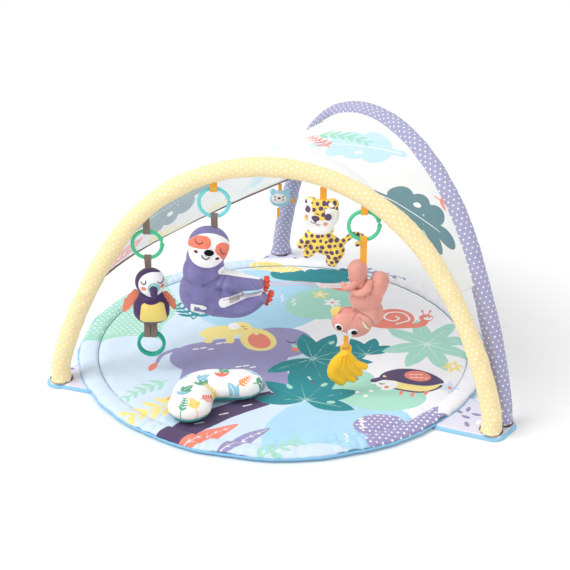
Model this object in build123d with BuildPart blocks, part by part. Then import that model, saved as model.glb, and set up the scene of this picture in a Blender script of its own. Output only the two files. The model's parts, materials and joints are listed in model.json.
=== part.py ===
from build123d import *
import os
from math import atan2, cos, degrees, pi, radians, sin

os.makedirs("parts", exist_ok=True)

# Activity play gym: a round padded floor mat, two rods in padded sleeves that stand in sockets on
# the mat's tabs, a cloth canopy between them, and hanging toys. Origin at the mat's centre on the
# floor, +Z up, +X towards the tab where both arches stand side by side. Millimetres and degrees.

# --- Driving dimensions ---

# Mat
mat_radius = 430.0
panel_radius = 389.0  # sewn ring between the middle panel and the puffed border
panel_height = 17.0
groove_height = 11.0
border_height = 18.0
seam_height = 9.0
rim_roll = 12.0  # how far the backing rolls up to the seam
panel_shoulder = 24.0  # width of the panel's slope down to the sewn ring
cloth = 1.2  # cover cloth of mat and sleeves

# Tabs and sockets
tab_thickness = 8.4
tab_root_width = 122.0
tab_nose_radius = 26.0
tab_reach = 30.0  # tab beyond the socket's axis
tab_overlap = 12.0  # how far the tab's root lies inside the mat's rim line
tab_edge = 1.5
flange_length = 46.0
flange_width = 30.0
flange_thickness = 2.6
socket_wall = 4.0
socket_top = 38.0
socket_root_fillet = 1.6
socket_lip = 0.6
rivet_spacing = 36.0
rivet_radius = 1.6
rivet_head_radius = 3.6
rivet_head_height = 1.4

# Arches
left_foot_x = -285.0
left_foot_outset = 40.2  # from the mat's rim out to a left socket's axis
shared_foot_outset = 90.0  # from the mat's rim out to the shared tab's sockets
sleeve_spacing = 4.0  # between the two sleeves where they stand side by side
elbow_height = 42.0  # where the upright plug turns into the leaning rod
arch_rise = 452.0  # crown above the elbow, in the arch's own plane
leg_lean = 13.7  # from upright, at the elbow
shoulder_lean = 34.5  # from upright, where the leg's curve meets the crown's
front_tilt = 8.7  # the whole arch leans in towards the other one
rear_tilt = 0.8
rod_radius = 5.0
rod_bore = 3.6
ferrule_wall = 1.8
ferrule_length = 60.0
spigot_radius = 6.0
spigot_length = 24.0
cup_wall = 3.2
cup_depth = 20.0
cup_floor = 4.0
spigot_chamfer = 1.2
padding_ease = 0.2  # between the foam and the sleeve round it
padding_bore = 7.1
padding_start = 34.0  # foam starts this far up the rod from the elbow
sleeve_radius = 18.0
sleeve_hem = 13.0  # height of the sleeve's lower edge
hem_flare = 1.0
elbow_ease = 0.5  # fullness of the sleeve where the leg turns upright

# Canopy
canopy_cloth_thickness = 1.0
canopy_front_start = 0.125  # shares of an arch's length from the left foot
canopy_rear_start = 0.150
canopy_front_end = 0.815
canopy_rear_end = 0.820
canopy_sag = 14.0
edge_lift = 36.0  # how far the free edge stands above the line between its ends
edge_fade = 0.30  # share of the canopy over which that lift dies out
seam_bite = 0.6  # how far the canopy's edge is caught in the sleeve
binding_thickness = 2.6
binding_reach = 7.0

# Hanging pieces
toy_azimuth = 36.0  # the toys face this far round from -Y towards +X
link_radius = 29.3
link_tube = 3.7
link_upper_end = 21.0  # degrees above the link's right side
link_lower_end = -2.0
knob_radius = 4.7
tongue_radius = 2.0
tongue_play = 0.6
tongue_reach = 1.5  # how far the tongue's end goes into the lower knob
ribbon_width = 13.0
ribbon = 1.2
hanger_cut = 0.03  # share of the arch over which a hanger's end follows the sleeve
hanger_hole = 6.2  # round the link, where it swings in its hanger
strap_hole = 5.2  # round the link, where the toy's strap swings on it
teether_radius = 25.5
teether_tube = 3.2
teether_gap = 1.0  # between the two teether rings
joint_gap = 0.5

# Fits
running_fit = 0.08
easy_fit = 0.1
rest_gap = 0.3

# Pillow
pillow_width = 92.0
pillow_height = 44.0
pillow_edge = 16.0

# Music unit
case_radius = 21.0
case_height = 16.0
case_wall = 1.8
case_edge = 2.0
grille_hole = 0.9
grille_rings = (4.0, 8.0, 12.0)
button_radius = 8.0
button_height = 3.0  # above the case
button_travel = 1.5
button_rim = 1.6  # flange that keeps the button in the case
button_rim_thickness = 2.5
button_edge = 1.2
switch_height = 2.0
switch_width = 6.0
switch_gap = 0.4  # between the switch and the pressed button
board_thickness = 1.2
speaker_radius = 9.5
speaker_height = 2.6
magnet_radius = 5.0
magnet_height = 1.8
cell_radius = 4.0
cell_height = 4.2
cell_ring = 14.4
sloth_module = (-28.0, -178.0)

# Toys: each stuffed round form is its middle (x, y), its radius and its half depth, each limb
# its two ends and its radius, from the point where the toy swings
cushion_flat = 0.3  # flat middle of a stuffed round form, as a share of its radius
felt = 3.0
toucan_head = -56.0
toucan_belly = -111.0
toucan_foot = -142.0
toucan_forms = (
    (0, toucan_head, 32, 24),
    (0, (toucan_head + toucan_belly) / 2, 30, 22),
    (0, toucan_belly, 37, 26),
)
beak_droop = 0.35
beak_length = 13.0
beak_root_radius = 9.0
beak_tip_radius = 6.5
wing_shoulder = (26, -76)
wing_root = (30, -104)
wing_underside = (40, -117)
wing_tip = (56, -122)
wing_edge = (44, -96)
teether_bar = -167.0
sloth_forms = ((-10, -66, 42, 28), (-17, -118, 43, 30), (-22, -170, 51, 31), (2, -172, 44, 28))
sloth_limbs = (((8, -140), (82, -137)), ((10, -190), (86, -188)))
sloth_limb_radius = 18.0
claw_width = 30.0
claw_thickness = 9.0
claw_length = 10.0
claw_seat = 3.0  # how far the claws are set into the limb's end
sloth_strap_end = -27.0
leopard_forms = ((-3, -56, 37, 15), (-4, -124, 37, 14), (-16, -100, 30, 13))
leopard_limbs = (((-22, -112), (-42, -128)), ((-14, -128), (-32, -146)), ((6, -136), (25, -154)))
leopard_limb_radius = 11.0
leopard_strap_length = 34.0
plush_forms = (
    (-15, -64, 20, 18),
    (31, -86, 19, 18),
    (3, -120, 34, 24),
    (6, -158, 30, 24),
    (-21, -178, 37, 25),
)
plush_limbs = (
    ((-14, -64), (-4, -104), 17),
    ((31, -88), (16, -112), 17),
    ((-4, -104), (-38, -100, 14), 8),
)
plush_ear = (-54, -150)
plush_ear_radius = 11.0
plush_strap_end = -56.0
plush_lower_strap_end = -205.0
teether_eye_width = 21.0
lower_strap_width = 12.0
lower_strap_pitch = 13.4
banana_x = -30.0
banana_y = -232.0
banana_bar = 2.6
strap_slack = 1.0
banana_strap_width = 10.0
banana_post = 3.6
banana_neck = 14.0
banana_fingers = (  # where each banana bends, its tip, and its thickness
    ((14, -29), (34, -36), 9.0),
    (( -4, -42), (20, -58), 9.5),
    ((-18, -46), (6, -74), 10.0),
    ((-24, -40), (-8, -78), 10.5),
)
leopard_tail = ((16, -121), (46, -104), (68, -97), (77, -107), (66, -117))
leopard_tail_radius = 5.5
back_toy_across = 0.94
back_toy_form = (0, -36, 26, 8)
back_toy_strap_length = 14.0
back_toy_strap_width = 8.0
satin_tab_share = 0.69
satin_tab_width = 18.0
satin_tab_thickness = 0.8
tag_length = 16.0
tag_width = 14.0
pillow_bend = ((28, -338), (2, -272), (54, -214))

# --- Worked out from the driving dimensions ---

left_foot_y = round(((mat_radius + left_foot_outset) ** 2 - left_foot_x**2) ** 0.5, 1)
shared_foot_x = mat_radius + shared_foot_outset
shared_foot_y = sleeve_radius + sleeve_spacing / 2
padding_radius = sleeve_radius - cloth - padding_ease
socket_bore = spigot_radius + running_fit
socket_radius = socket_bore + socket_wall
socket_floor = tab_thickness + flange_thickness
spigot_bottom = socket_top + rest_gap - spigot_length
rivet_dome = socket_floor + rivet_head_height
teether_offset = teether_tube + teether_gap / 2
strap_reach = (lower_strap_pitch + lower_strap_width) / 2
eye_top = teether_tube + rest_gap
eye_bottom = teether_radius - ((teether_radius - teether_tube) ** 2 - strap_reach**2) ** 0.5 + rest_gap
eye_height = eye_top + eye_bottom
eye_middle = (eye_top - eye_bottom) / 2
toy_right = Vector(cos(radians(toy_azimuth)), sin(radians(toy_azimuth)), 0)
toy_front = Vector(sin(radians(toy_azimuth)), -cos(radians(toy_azimuth)), 0)
up = Vector(0, 0, 1)


def save(part, name):
    part.label = name
    export_step(part, f"parts/{name}.step")


# --- Arch geometry ---


class Arch:
    """Three tangent arcs in one leaning plane: a leg, the crown and a mirrored leg."""

    def __init__(self, left, right, tilt, inward):
        self.left, self.right = Vector(*left), Vector(*right)
        along = self.right - self.left
        self.half = along.length / 2
        self.along = along.normalized()
        rise_direction = up * cos(radians(tilt)) + inward * sin(radians(tilt))
        lean, turn = radians(leg_lean), radians(shoulder_lean)
        a, b = cos(lean) - cos(turn), cos(turn)
        c, d = sin(turn) - sin(lean), 1 - sin(turn)
        det = a * d - b * c
        self.leg_radius = (self.half * d - b * arch_rise) / det
        self.crown_radius = (a * arch_rise - c * self.half) / det
        middle = (self.left + self.right) / 2
        self.plane = Plane(origin=middle, x_dir=self.along, z_dir=self.along.cross(rise_direction))
        self.inward = inward
        self.leg_length = self.leg_radius * (turn - lean)
        self.crown_length = self.crown_radius * (pi - 2 * turn)
        self.length = 2 * self.leg_length + self.crown_length

    def at(self, share):
        """Point on the centre line at a share of its length from the left elbow."""
        lean, turn = radians(leg_lean), radians(shoulder_lean)
        run = min(share, 1 - share) * self.length
        if run < self.leg_length:
            angle = lean + run / self.leg_radius
            x = -self.half + self.leg_radius * (cos(lean) - cos(angle))
            y = self.leg_radius * (sin(angle) - sin(lean))
        else:
            angle = turn + (run - self.leg_length) / self.crown_radius
            x = -self.half + self.leg_radius * (cos(lean) - cos(turn))
            x += self.crown_radius * (cos(turn) - cos(angle))
            y = self.leg_radius * (sin(turn) - sin(lean)) + self.crown_radius * (sin(angle) - sin(turn))
        return self.plane.from_local_coords((x if share < 0.5 else -x, y, 0))

    def heading(self, share):
        """Unit vector along the centre line, towards the right foot."""
        step = 1e-3
        return (self.at(share + step) - self.at(share - step)).normalized()

    def sideways(self, share, target):
        """Unit vector square to the centre line, in the direction of another point."""
        towards = target - self.at(share)
        forward = self.heading(share)
        return (towards - forward * towards.dot(forward)).normalized()

    def draw(self, first=0.0, last=1.0):
        """Adds the centre line between two shares of its length to the current line."""
        legs = self.leg_length / self.length
        lean, turn = leg_lean, shoulder_lean
        foot_x = self.half - self.leg_radius * cos(radians(lean))
        foot_y = -self.leg_radius * sin(radians(lean))
        crown = arch_rise - self.crown_radius
        spans = (
            (0.0, legs, (-foot_x, foot_y), self.leg_radius, 180 - lean, 180 - turn),
            (legs, 1 - legs, (0, crown), self.crown_radius, 180 - turn, turn),
            (1 - legs, 1.0, (foot_x, foot_y), self.leg_radius, turn, lean),
        )
        for start, end, centre, radius, from_angle, to_angle in spans:
            low, high = max(start, first), min(end, last)
            if high - low < 1e-6:
                continue
            turn_per_share = (to_angle - from_angle) / (end - start)
            begin = from_angle + turn_per_share * (low - start)
            CenterArc(centre, radius, begin, turn_per_share * (high - low))


front = Arch(
    (left_foot_x, -left_foot_y, elbow_height),
    (shared_foot_x, -shared_foot_y, elbow_height),
    front_tilt,
    Vector(shared_foot_y - left_foot_y, shared_foot_x - left_foot_x, 0).normalized(),
)
rear = Arch(
    (left_foot_x, left_foot_y, elbow_height),
    (shared_foot_x, shared_foot_y, elbow_height),
    rear_tilt,
    Vector(shared_foot_y - left_foot_y, left_foot_x - shared_foot_x, 0).normalized(),
)


def tube(arch, radius, first, last, mode=Mode.ADD):
    """A round bar along part of an arch, added to the current part."""
    with BuildLine(arch.plane) as path:
        arch.draw(first, last)
    with BuildSketch(Plane(origin=path.line @ 0, z_dir=path.line % 0)) as section:
        Circle(radius)
    sweep(sections=section.sketch, path=path.line, mode=mode)


# --- Mat ---


def mat_crown(drop):
    """The mat's upper outline, from the axis to the seam, lowered by drop."""
    flat_end = panel_radius - panel_shoulder
    slope = (flat_end + 0.6 * panel_shoulder, panel_height - 0.22 * (panel_height - groove_height) - drop)
    puff = ((panel_radius + mat_radius) / 2 - 1, border_height - drop)
    Line((0, panel_height - drop), (flat_end, panel_height - drop))
    ThreePointArc((flat_end, panel_height - drop), slope, (panel_radius, groove_height - drop))
    ThreePointArc((panel_radius, groove_height - drop), puff, (mat_radius, seam_height - drop))


def rim_curve(inset):
    """The backing's roll from its flat underside up to the seam, moved in by inset."""
    low, high = (mat_radius - rim_roll, inset), (mat_radius - inset, seam_height - cloth)
    bulge = (mat_radius - 0.22 * rim_roll - inset, 0.42 * (seam_height - cloth) + 0.5 * inset)
    ThreePointArc(low, bulge, high)


with BuildPart() as mat_top:
    with BuildSketch(Plane.XZ):
        with BuildLine():
            mat_crown(0)
            Line((mat_radius, seam_height), (mat_radius, seam_height - cloth))
            mat_crown(cloth)
            Line((0, panel_height - cloth), (0, panel_height))
        make_face()
    revolve(axis=Axis.Z)
save(mat_top.part, "mat_top")

with BuildPart() as mat_filling:
    with BuildSketch(Plane.XZ):
        with BuildLine():
            mat_crown(cloth)
            Line((mat_radius, seam_height - cloth), (mat_radius - cloth, seam_height - cloth))
            rim_curve(cloth)
            Line((mat_radius - rim_roll, cloth), (0, cloth))
            Line((0, cloth), (0, panel_height - cloth))
        make_face()
    revolve(axis=Axis.Z)
save(mat_filling.part, "mat_filling")

with BuildPart() as mat_backing:
    with BuildSketch(Plane.XZ):
        with BuildLine():
            Line((0, 0), (mat_radius - rim_roll, 0))
            rim_curve(0)
            Line((mat_radius, seam_height - cloth), (mat_radius - cloth, seam_height - cloth))
            rim_curve(cloth)
            Line((mat_radius - rim_roll, cloth), (0, cloth))
            Line((0, cloth), (0, 0))
        make_face()
    revolve(axis=Axis.Z)
save(mat_backing.part, "mat_backing")


# --- Tabs, sockets and rivets ---

sockets = {
    "socket_left": front.left,
    "socket_right_front": front.right,
    "socket_right_rear": rear.right,
    "socket_back": rear.left,
}


def outward_angle(spot):
    """Direction of a socket's flange: straight out from the mat, along X at the shared tab."""
    return 0.0 if spot.X > 0 else degrees(atan2(spot.Y, spot.X))


def flange_plane(spot, height):
    out = radians(outward_angle(spot))
    return Plane(origin=(spot.X, spot.Y, height), x_dir=(cos(out), sin(out), 0), z_dir=(0, 0, 1))


def rivet_spots(spot):
    """The two rivets of one socket, in line with its flange."""
    out = radians(outward_angle(spot))
    reach = Vector(cos(out), sin(out), 0) * (rivet_spacing / 2)
    return [Vector(spot.X, spot.Y, 0) + reach, Vector(spot.X, spot.Y, 0) - reach]


standing = (Align.CENTER, Align.CENTER, Align.MIN)


def make_tab(name, spots):
    middle = sum((Vector(s.X, s.Y, 0) for s in spots), Vector(0, 0, 0)) / len(spots)
    out = radians(outward_angle(spots[0]))
    spread = (spots[0] - spots[-1]).length / 2
    root = mat_radius - (middle.length + tab_reach)
    side = Plane(
        origin=middle + Vector(cos(out), sin(out), 0) * tab_reach,
        x_dir=(cos(out), sin(out), 0),
        z_dir=(0, 0, 1),
    )
    with BuildPart() as tab:
        with BuildSketch(side) as outline:
            with Locations((-tab_nose_radius, spread), (-tab_nose_radius, -spread)):
                Circle(tab_nose_radius)
            with Locations((root - tab_overlap, 0)):
                Rectangle(4, tab_root_width + spread)
            make_hull(outline.sketch_local.edges())
        extrude(amount=tab_thickness)
        chamfer(tab.edges().group_by(Axis.Z)[-1], tab_edge)
        with BuildSketch(Plane.XY):
            Circle(mat_radius)
        extrude(amount=tab_thickness, mode=Mode.SUBTRACT)
        with Locations(*[rivet for s in spots for rivet in rivet_spots(s)]):
            for radius, depth in ((rivet_radius, tab_thickness), (rivet_head_radius, rivet_head_height)):
                Cylinder(radius, depth, align=standing, mode=Mode.SUBTRACT)
    save(tab.part, name)


make_tab("tab_left", [front.left])
make_tab("tab_back", [rear.left])
make_tab("tab_right", [front.right, rear.right])

for name, spot in sockets.items():
    base = flange_plane(spot, tab_thickness)
    with BuildPart() as socket:
        with BuildSketch(base):
            RectangleRounded(flange_length, flange_width, flange_width / 2 - 3)
        extrude(amount=flange_thickness)
        with BuildSketch(base.offset(flange_thickness)):
            Circle(socket_radius)
        extrude(amount=socket_top - socket_floor)
        rings = socket.edges().filter_by(GeomType.CIRCLE)
        rings = rings.filter_by_position(Axis.Z, socket_floor, socket_floor)
        fillet(rings.filter_by(lambda ring: ring.radius == socket_radius), socket_root_fillet)
        with BuildSketch(base.offset(socket_top - tab_thickness)):
            Circle(socket_bore)
        extrude(amount=-(socket_top - spigot_bottom + 1), mode=Mode.SUBTRACT)
        chamfer(socket.edges().group_by(Axis.Z)[-1], socket_lip)
        with Locations(*rivet_spots(spot)):
            Cylinder(rivet_radius, 4 * tab_thickness, mode=Mode.SUBTRACT)
    save(socket.part, name)

with BuildPart() as socket_rivets:
    for spot in sockets.values():
        for rivet in rivet_spots(spot):
            with BuildSketch(Plane(origin=rivet, x_dir=(1, 0, 0), z_dir=(0, -1, 0))):
                with BuildLine():
                    Polyline(
                        (0, 0),
                        (rivet_head_radius, 0),
                        (rivet_head_radius, rivet_head_height),
                        (rivet_radius, rivet_head_height),
                        (rivet_radius, socket_floor),
                        (rivet_head_radius, socket_floor),
                    )
                    ThreePointArc(
                        (rivet_head_radius, socket_floor),
                        (0.8 * rivet_head_radius, socket_floor + 0.75 * rivet_head_height),
                        (0.4 * rivet_head_radius, rivet_dome),
                    )
                    Polyline((0.4 * rivet_head_radius, rivet_dome), (0, rivet_dome), (0, 0))
                make_face()
            revolve(axis=Axis(rivet, (0, 0, 1)))
save(socket_rivets.part, "socket_rivets")


# --- Arches: plugs, split rods, ferrule, foam and dotted sleeve ---

for arch_name, arch in (("front", front), ("rear", rear)):
    rod_start = cup_floor / arch.length
    ferrule_share = ferrule_length / arch.length
    for side_name, side, elbow in (("left", -1, arch.left), ("right", 1, arch.right)):
        cup_share = (cup_floor + cup_depth) / arch.length
        cup = (0, cup_share) if side < 0 else (1 - cup_share, 1)
        bore = (rod_start, cup_share) if side < 0 else (1 - cup_share, 1 - rod_start)
        with BuildPart() as plug:
            tube(arch, rod_radius + cup_wall, *cup)
            with Locations(Location(elbow)):
                Sphere(rod_radius + cup_wall)
            with BuildSketch(Plane(origin=(elbow.X, elbow.Y, socket_top + rest_gap))):
                Circle(socket_radius)
            extrude(amount=-spigot_length, mode=Mode.SUBTRACT)
            with BuildSketch(Plane(origin=(elbow.X, elbow.Y, socket_top + rest_gap))):
                Circle(socket_radius)
            extrude(amount=elbow_height - socket_top - rest_gap)
            with BuildSketch(Plane(origin=(elbow.X, elbow.Y, spigot_bottom))):
                Circle(spigot_radius)
            extrude(amount=spigot_length)
            chamfer(plug.edges().group_by(Axis.Z)[0], spigot_chamfer)
            tube(arch, rod_radius + easy_fit, *bore, Mode.SUBTRACT)
        save(plug.part, f"{arch_name}_plug_{side_name}")

        with BuildPart() as rod:
            first, last = (rod_start, 0.5) if side < 0 else (0.5, 1 - rod_start)
            tube(arch, rod_radius, first, last)
            tube(arch, rod_bore, first, last, Mode.SUBTRACT)
        save(rod.part, f"{arch_name}_rod_{side_name}")

    with BuildPart() as ferrule:
        first, last = 0.5 - ferrule_share / 2, 0.5 + ferrule_share / 2
        tube(arch, rod_radius + easy_fit + ferrule_wall, first, last)
        tube(arch, rod_radius + easy_fit, first, last, Mode.SUBTRACT)
    save(ferrule.part, f"{arch_name}_ferrule")

    with BuildPart() as padding:
        first = padding_start / arch.length
        tube(arch, padding_radius, first, 1 - first)
        tube(arch, padding_bore, first, 1 - first, Mode.SUBTRACT)
    save(padding.part, f"{arch_name}_padding")

    with BuildPart() as sleeve:
        tube(arch, sleeve_radius, 0, 1)
        for elbow in (arch.left, arch.right):
            with Locations(Location(elbow)):
                Sphere(sleeve_radius + elbow_ease)
            with BuildSketch(Plane(origin=elbow)):
                Circle(sleeve_radius)
            with BuildSketch(Plane(origin=(elbow.X, elbow.Y, sleeve_hem))):
                Circle(sleeve_radius + hem_flare)
            loft()
        tube(arch, sleeve_radius - cloth, 0, 1, Mode.SUBTRACT)
        for elbow in (arch.left, arch.right):
            with Locations(Location(elbow)):
                Sphere(sleeve_radius - cloth + elbow_ease / 2, mode=Mode.SUBTRACT)
            with BuildSketch(Plane(origin=elbow)):
                Circle(sleeve_radius - cloth)
            extrude(amount=sleeve_hem - elbow_height, mode=Mode.SUBTRACT)
    save(sleeve.part, f"{arch_name}_sleeve")


# --- Canopy: one cloth between the arches, with a bound free edge ---


def canopy_point(along, across, below=0.0):
    """Point of the cloth: along runs from the free edge to the narrow end, across from front to rear."""
    front_share = canopy_front_start + along * (canopy_front_end - canopy_front_start)
    rear_share = canopy_rear_start + along * (canopy_rear_end - canopy_rear_start)
    a, b = front.at(front_share), rear.at(rear_share)
    from_front = a + front.sideways(front_share, b) * (sleeve_radius - seam_bite)
    from_rear = b + rear.sideways(rear_share, a) * (sleeve_radius - seam_bite)
    point = from_front * (1 - across) + from_rear * across
    width = (b - a).length
    fade = max(0.0, 1 - along / edge_fade) ** 2
    lift = edge_lift * fade * sin(pi * max(across, 0) ** 0.6)
    sag = canopy_sag * (1 - fade) * sin(pi * across) * min(1.0, width / 300)
    return point + up * (lift - sag - below)


def canopy_surface(along_from, along_to, rows, columns):
    step = (along_to - along_from) / (rows - 1)
    grid = [
        [canopy_point(along_from + step * i, j / (columns - 1)) for j in range(columns)]
        for i in range(rows)
    ]
    return Face.make_surface_from_array_of_points(grid, tol=0.05, max_deg=5)


canopy_length = (canopy_front_end - canopy_front_start) * front.length
with BuildPart() as canopy_cloth:
    thicken(canopy_surface(0, 1, 25, 13), amount=canopy_cloth_thickness / 2, both=True)
save(canopy_cloth.part, "canopy_cloth")

with BuildPart() as canopy_binding:
    thicken(canopy_surface(0, binding_reach / canopy_length, 3, 13), amount=binding_thickness / 2, both=True)
save(canopy_binding.part, "canopy_binding")


# --- Hanging pieces: links, ribbons and toys ---

# Where each toy hangs: share of the front arch's length, and how far below its centre line the
# swing axis lies.
hangers = {
    "toucan": (0.2888, sleeve_radius + 30.0),
    "sloth": (0.4057, sleeve_radius + 14.0),
    "leopard": (0.5658, sleeve_radius + 3.5),
    "plush": (0.6287, sleeve_radius + 13.0),
}


def hanging_plane(name, below=0.0):
    """Faces the way the toys look, with its origin on a toy's hanging line, below its swing axis."""
    share, drop = hangers[name]
    return Plane(origin=front.at(share) - up * (drop + below), x_dir=toy_right, z_dir=toy_front)


def cushion(plane, x, y, radius, half_depth, out=0.0):
    """A stuffed round form: a circle seen from the front, half_depth thick each way."""
    centre = plane.from_local_coords((x, y, out))
    flat = cushion_flat * radius
    with BuildSketch(Plane(origin=centre, x_dir=plane.z_dir, z_dir=up)) as half:
        with BuildLine():
            Polyline((-half_depth, flat), (-half_depth, 0), (half_depth, 0), (half_depth, flat))
            Spline((half_depth, flat), (0, radius), (-half_depth, flat), tangents=[(0, 1), (0, -1)])
        make_face()
    revolve(half.sketch, axis=Axis(centre, plane.z_dir))


def limb(plane, start, end, radius):
    """A stuffed limb with round ends between two points of a toy's plane."""
    a = plane.from_local_coords((*start, 0) if len(start) == 2 else start)
    b = plane.from_local_coords((*end, 0) if len(end) == 2 else end)
    with Locations(Location(a), Location(b)):
        Sphere(radius)
    with BuildSketch(Plane(origin=a, z_dir=b - a)) as round_section:
        Circle(radius)
    extrude(round_section.sketch, amount=(b - a).length)


def ribbon_loop(plane, x, y, end_y, hole, width=ribbon_width):
    """A folded ribbon: an eye of radius hole round a bar at (x, y), its plies running on to end_y."""
    eye = Plane(origin=plane.from_local_coords((x, y, 0)), x_dir=plane.z_dir, z_dir=-plane.x_dir)
    towards = 1 if end_y > y else -1
    closing = towards * min(3 * hole, abs(end_y - y) - ribbon)
    with BuildSketch(eye) as side:
        Circle(hole + ribbon)
        with Locations((0, closing)):
            Rectangle(2 * ribbon, 2 * ribbon)
        make_hull(side.sketch_local.edges())
        with Locations((0, (closing + end_y - y) / 2)):
            Rectangle(2 * ribbon, abs(end_y - y - closing))
        Circle(hole, mode=Mode.SUBTRACT)
    extrude(side.sketch, amount=width / 2, both=True)


def snap_link(plane):
    """An open link: a tongue on its upper knob snaps into its lower knob. Top tube at the origin."""
    centre = plane.from_local_coords((0, -link_radius, 0))
    ring_axis = Axis(centre, plane.z_dir)

    def spot(angle):
        turn = radians(angle)
        return centre + (plane.x_dir * cos(turn) + plane.y_dir * sin(turn)) * link_radius

    def arc_bar(radius, start, turn, mode):
        """A round bar bent round the link's middle."""
        along = plane.y_dir * cos(radians(start)) - plane.x_dir * sin(radians(start))
        with BuildSketch(Plane(origin=spot(start), z_dir=along)) as section:
            Circle(radius)
        revolve(section.sketch, axis=ring_axis, revolution_arc=turn, mode=mode)

    gap = link_upper_end - link_lower_end
    reach = degrees(tongue_reach / link_radius)
    play = degrees(tongue_play / link_radius)
    knob_turn = degrees(knob_radius / link_radius)
    pocket_start = link_lower_end + knob_turn - 2 * reach
    with BuildPart() as link:
        arc_bar(link_tube, link_upper_end, 360 - gap, Mode.ADD)
        with Locations(Location(spot(link_upper_end)), Location(spot(link_lower_end))):
            Sphere(knob_radius)
        arc_bar(tongue_radius + tongue_play, pocket_start, 3 * reach, Mode.SUBTRACT)
        tongue_start = pocket_start + play
        arc_bar(tongue_radius, tongue_start, link_upper_end - tongue_start, Mode.ADD)
    return link.part


for name in ("toucan", "sloth", "plush"):
    swing = hanging_plane(name)
    save(snap_link(swing), f"{name}_link")
    share, drop = hangers[name]
    with BuildPart() as hanger:
        ribbon_loop(swing, 0, 0, drop, hanger_hole)
        tube(front, sleeve_radius - seam_bite, share - hanger_cut, share + hanger_cut, Mode.SUBTRACT)
    save(hanger.part, f"{name}_hanger")

# Toucan
toucan = hanging_plane("toucan", 2 * link_radius)
with BuildPart() as toucan_body:
    for form in toucan_forms:
        cushion(toucan, *form)
save(toucan_body.part, "toucan_body")

beak_axis = (toy_front - up * beak_droop).normalized()
beak_root = toucan.from_local_coords((4, toucan_head - 8, 21))
with BuildPart() as toucan_beak:
    with BuildSketch(Plane(origin=beak_root, z_dir=beak_axis)):
        Circle(beak_root_radius)
    with BuildSketch(Plane(origin=beak_root + beak_axis * beak_length, z_dir=beak_axis)):
        Circle(beak_tip_radius)
    loft()
    with Locations(Location(beak_root + beak_axis * beak_length)):
        Sphere(beak_tip_radius)
save(toucan_beak.part, "toucan_beak")

with BuildPart() as toucan_wings:
    with BuildSketch(toucan.offset(-4)) as wings:
        with BuildLine():
            Line(wing_shoulder, wing_root)
            ThreePointArc(wing_root, wing_underside, wing_tip)
            ThreePointArc(wing_tip, wing_edge, wing_shoulder)
        make_face()
        mirror(about=Plane.YZ)
    extrude(amount=felt)
save(toucan_wings.part, "toucan_wings")

with BuildPart() as toucan_strap:
    ribbon_loop(toucan, 0, 0, toucan_head + 30, strap_hole)
save(toucan_strap.part, "toucan_strap")

# Two ribbons under the toucan hold both teether rings side by side.
with BuildPart() as toucan_lower_straps:
    for side in (-1, 1):
        strap_middle = toucan.from_local_coords((side * lower_strap_pitch / 2, teether_bar, 0))
        with BuildSketch(Plane(origin=strap_middle, x_dir=toy_front, z_dir=-toy_right)) as strap_side:
            with Locations((0, eye_middle)):
                SlotOverall(teether_eye_width + 2 * ribbon, eye_height + 2 * ribbon)
            with Locations((0, toucan_foot - teether_bar)):
                Rectangle(2 * ribbon, 2 * ribbon)
            make_hull(strap_side.sketch_local.edges())
            with Locations((0, eye_middle)):
                SlotOverall(teether_eye_width, eye_height, mode=Mode.SUBTRACT)
        extrude(amount=lower_strap_width / 2, both=True)
save(toucan_lower_straps.part, "toucan_lower_straps")

for name, side in (("teether_ring_front", 1), ("teether_ring_rear", -1)):
    with BuildPart() as teether:
        ring_centre = (0, teether_bar - teether_radius, side * teether_offset)
        ring = Plane(toucan.from_local_coords(ring_centre), x_dir=toy_right, z_dir=toy_front)
        with Locations(ring):
            Torus(teether_radius, teether_tube)
    save(teether.part, name)

# Sloth, with two limbs reaching to the right and a music unit inside its belly
sloth = hanging_plane("sloth", 2 * link_radius)
module = sloth.from_local_coords((*sloth_module, 0))
module_plane = Plane(origin=module, x_dir=toy_right, z_dir=toy_front)
pocket_depth = case_height + 2 * easy_fit
with BuildPart() as sloth_body:
    for form in sloth_forms:
        cushion(sloth, *form)
    for shoulder, paw in sloth_limbs:
        limb(sloth, shoulder, paw, sloth_limb_radius)
    with BuildSketch(module_plane.offset(-pocket_depth / 2)):
        Circle(case_radius + easy_fit)
    extrude(amount=pocket_depth, mode=Mode.SUBTRACT)
    with BuildSketch(module_plane.offset(pocket_depth / 2)):
        Circle(button_radius + 2)
    extrude(amount=button_height + rest_gap, mode=Mode.SUBTRACT)
save(sloth_body.part, "sloth_body")

with BuildPart() as sloth_claws:
    for _, paw in sloth_limbs:
        claw_root = sloth.from_local_coords((paw[0] + sloth_limb_radius - claw_seat, paw[1], 0))
        with BuildSketch(Plane(origin=claw_root, x_dir=toy_front, z_dir=toy_right)):
            SlotOverall(claw_width, claw_thickness, rotation=90)
        extrude(amount=claw_length)
save(sloth_claws.part, "sloth_claws")

with BuildPart() as sloth_strap:
    ribbon_loop(sloth, 0, 0, sloth_strap_end, strap_hole)
save(sloth_strap.part, "sloth_strap")

# The music unit is a round case of two shells, held in the pocket by the stuffing.
half = case_height / 2
with BuildPart() as music_case_front:
    with BuildSketch(module_plane):
        Circle(case_radius)
    extrude(amount=half)
    fillet(music_case_front.faces().sort_by(Axis(module, toy_front))[-1].edges(), case_edge)
    with BuildSketch(module_plane):
        Circle(case_radius - case_wall)
    extrude(amount=half - case_wall, mode=Mode.SUBTRACT)
    with BuildSketch(module_plane):
        Circle(button_radius + easy_fit)
    extrude(amount=case_height, mode=Mode.SUBTRACT)
save(music_case_front.part, "music_case_front")

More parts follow.
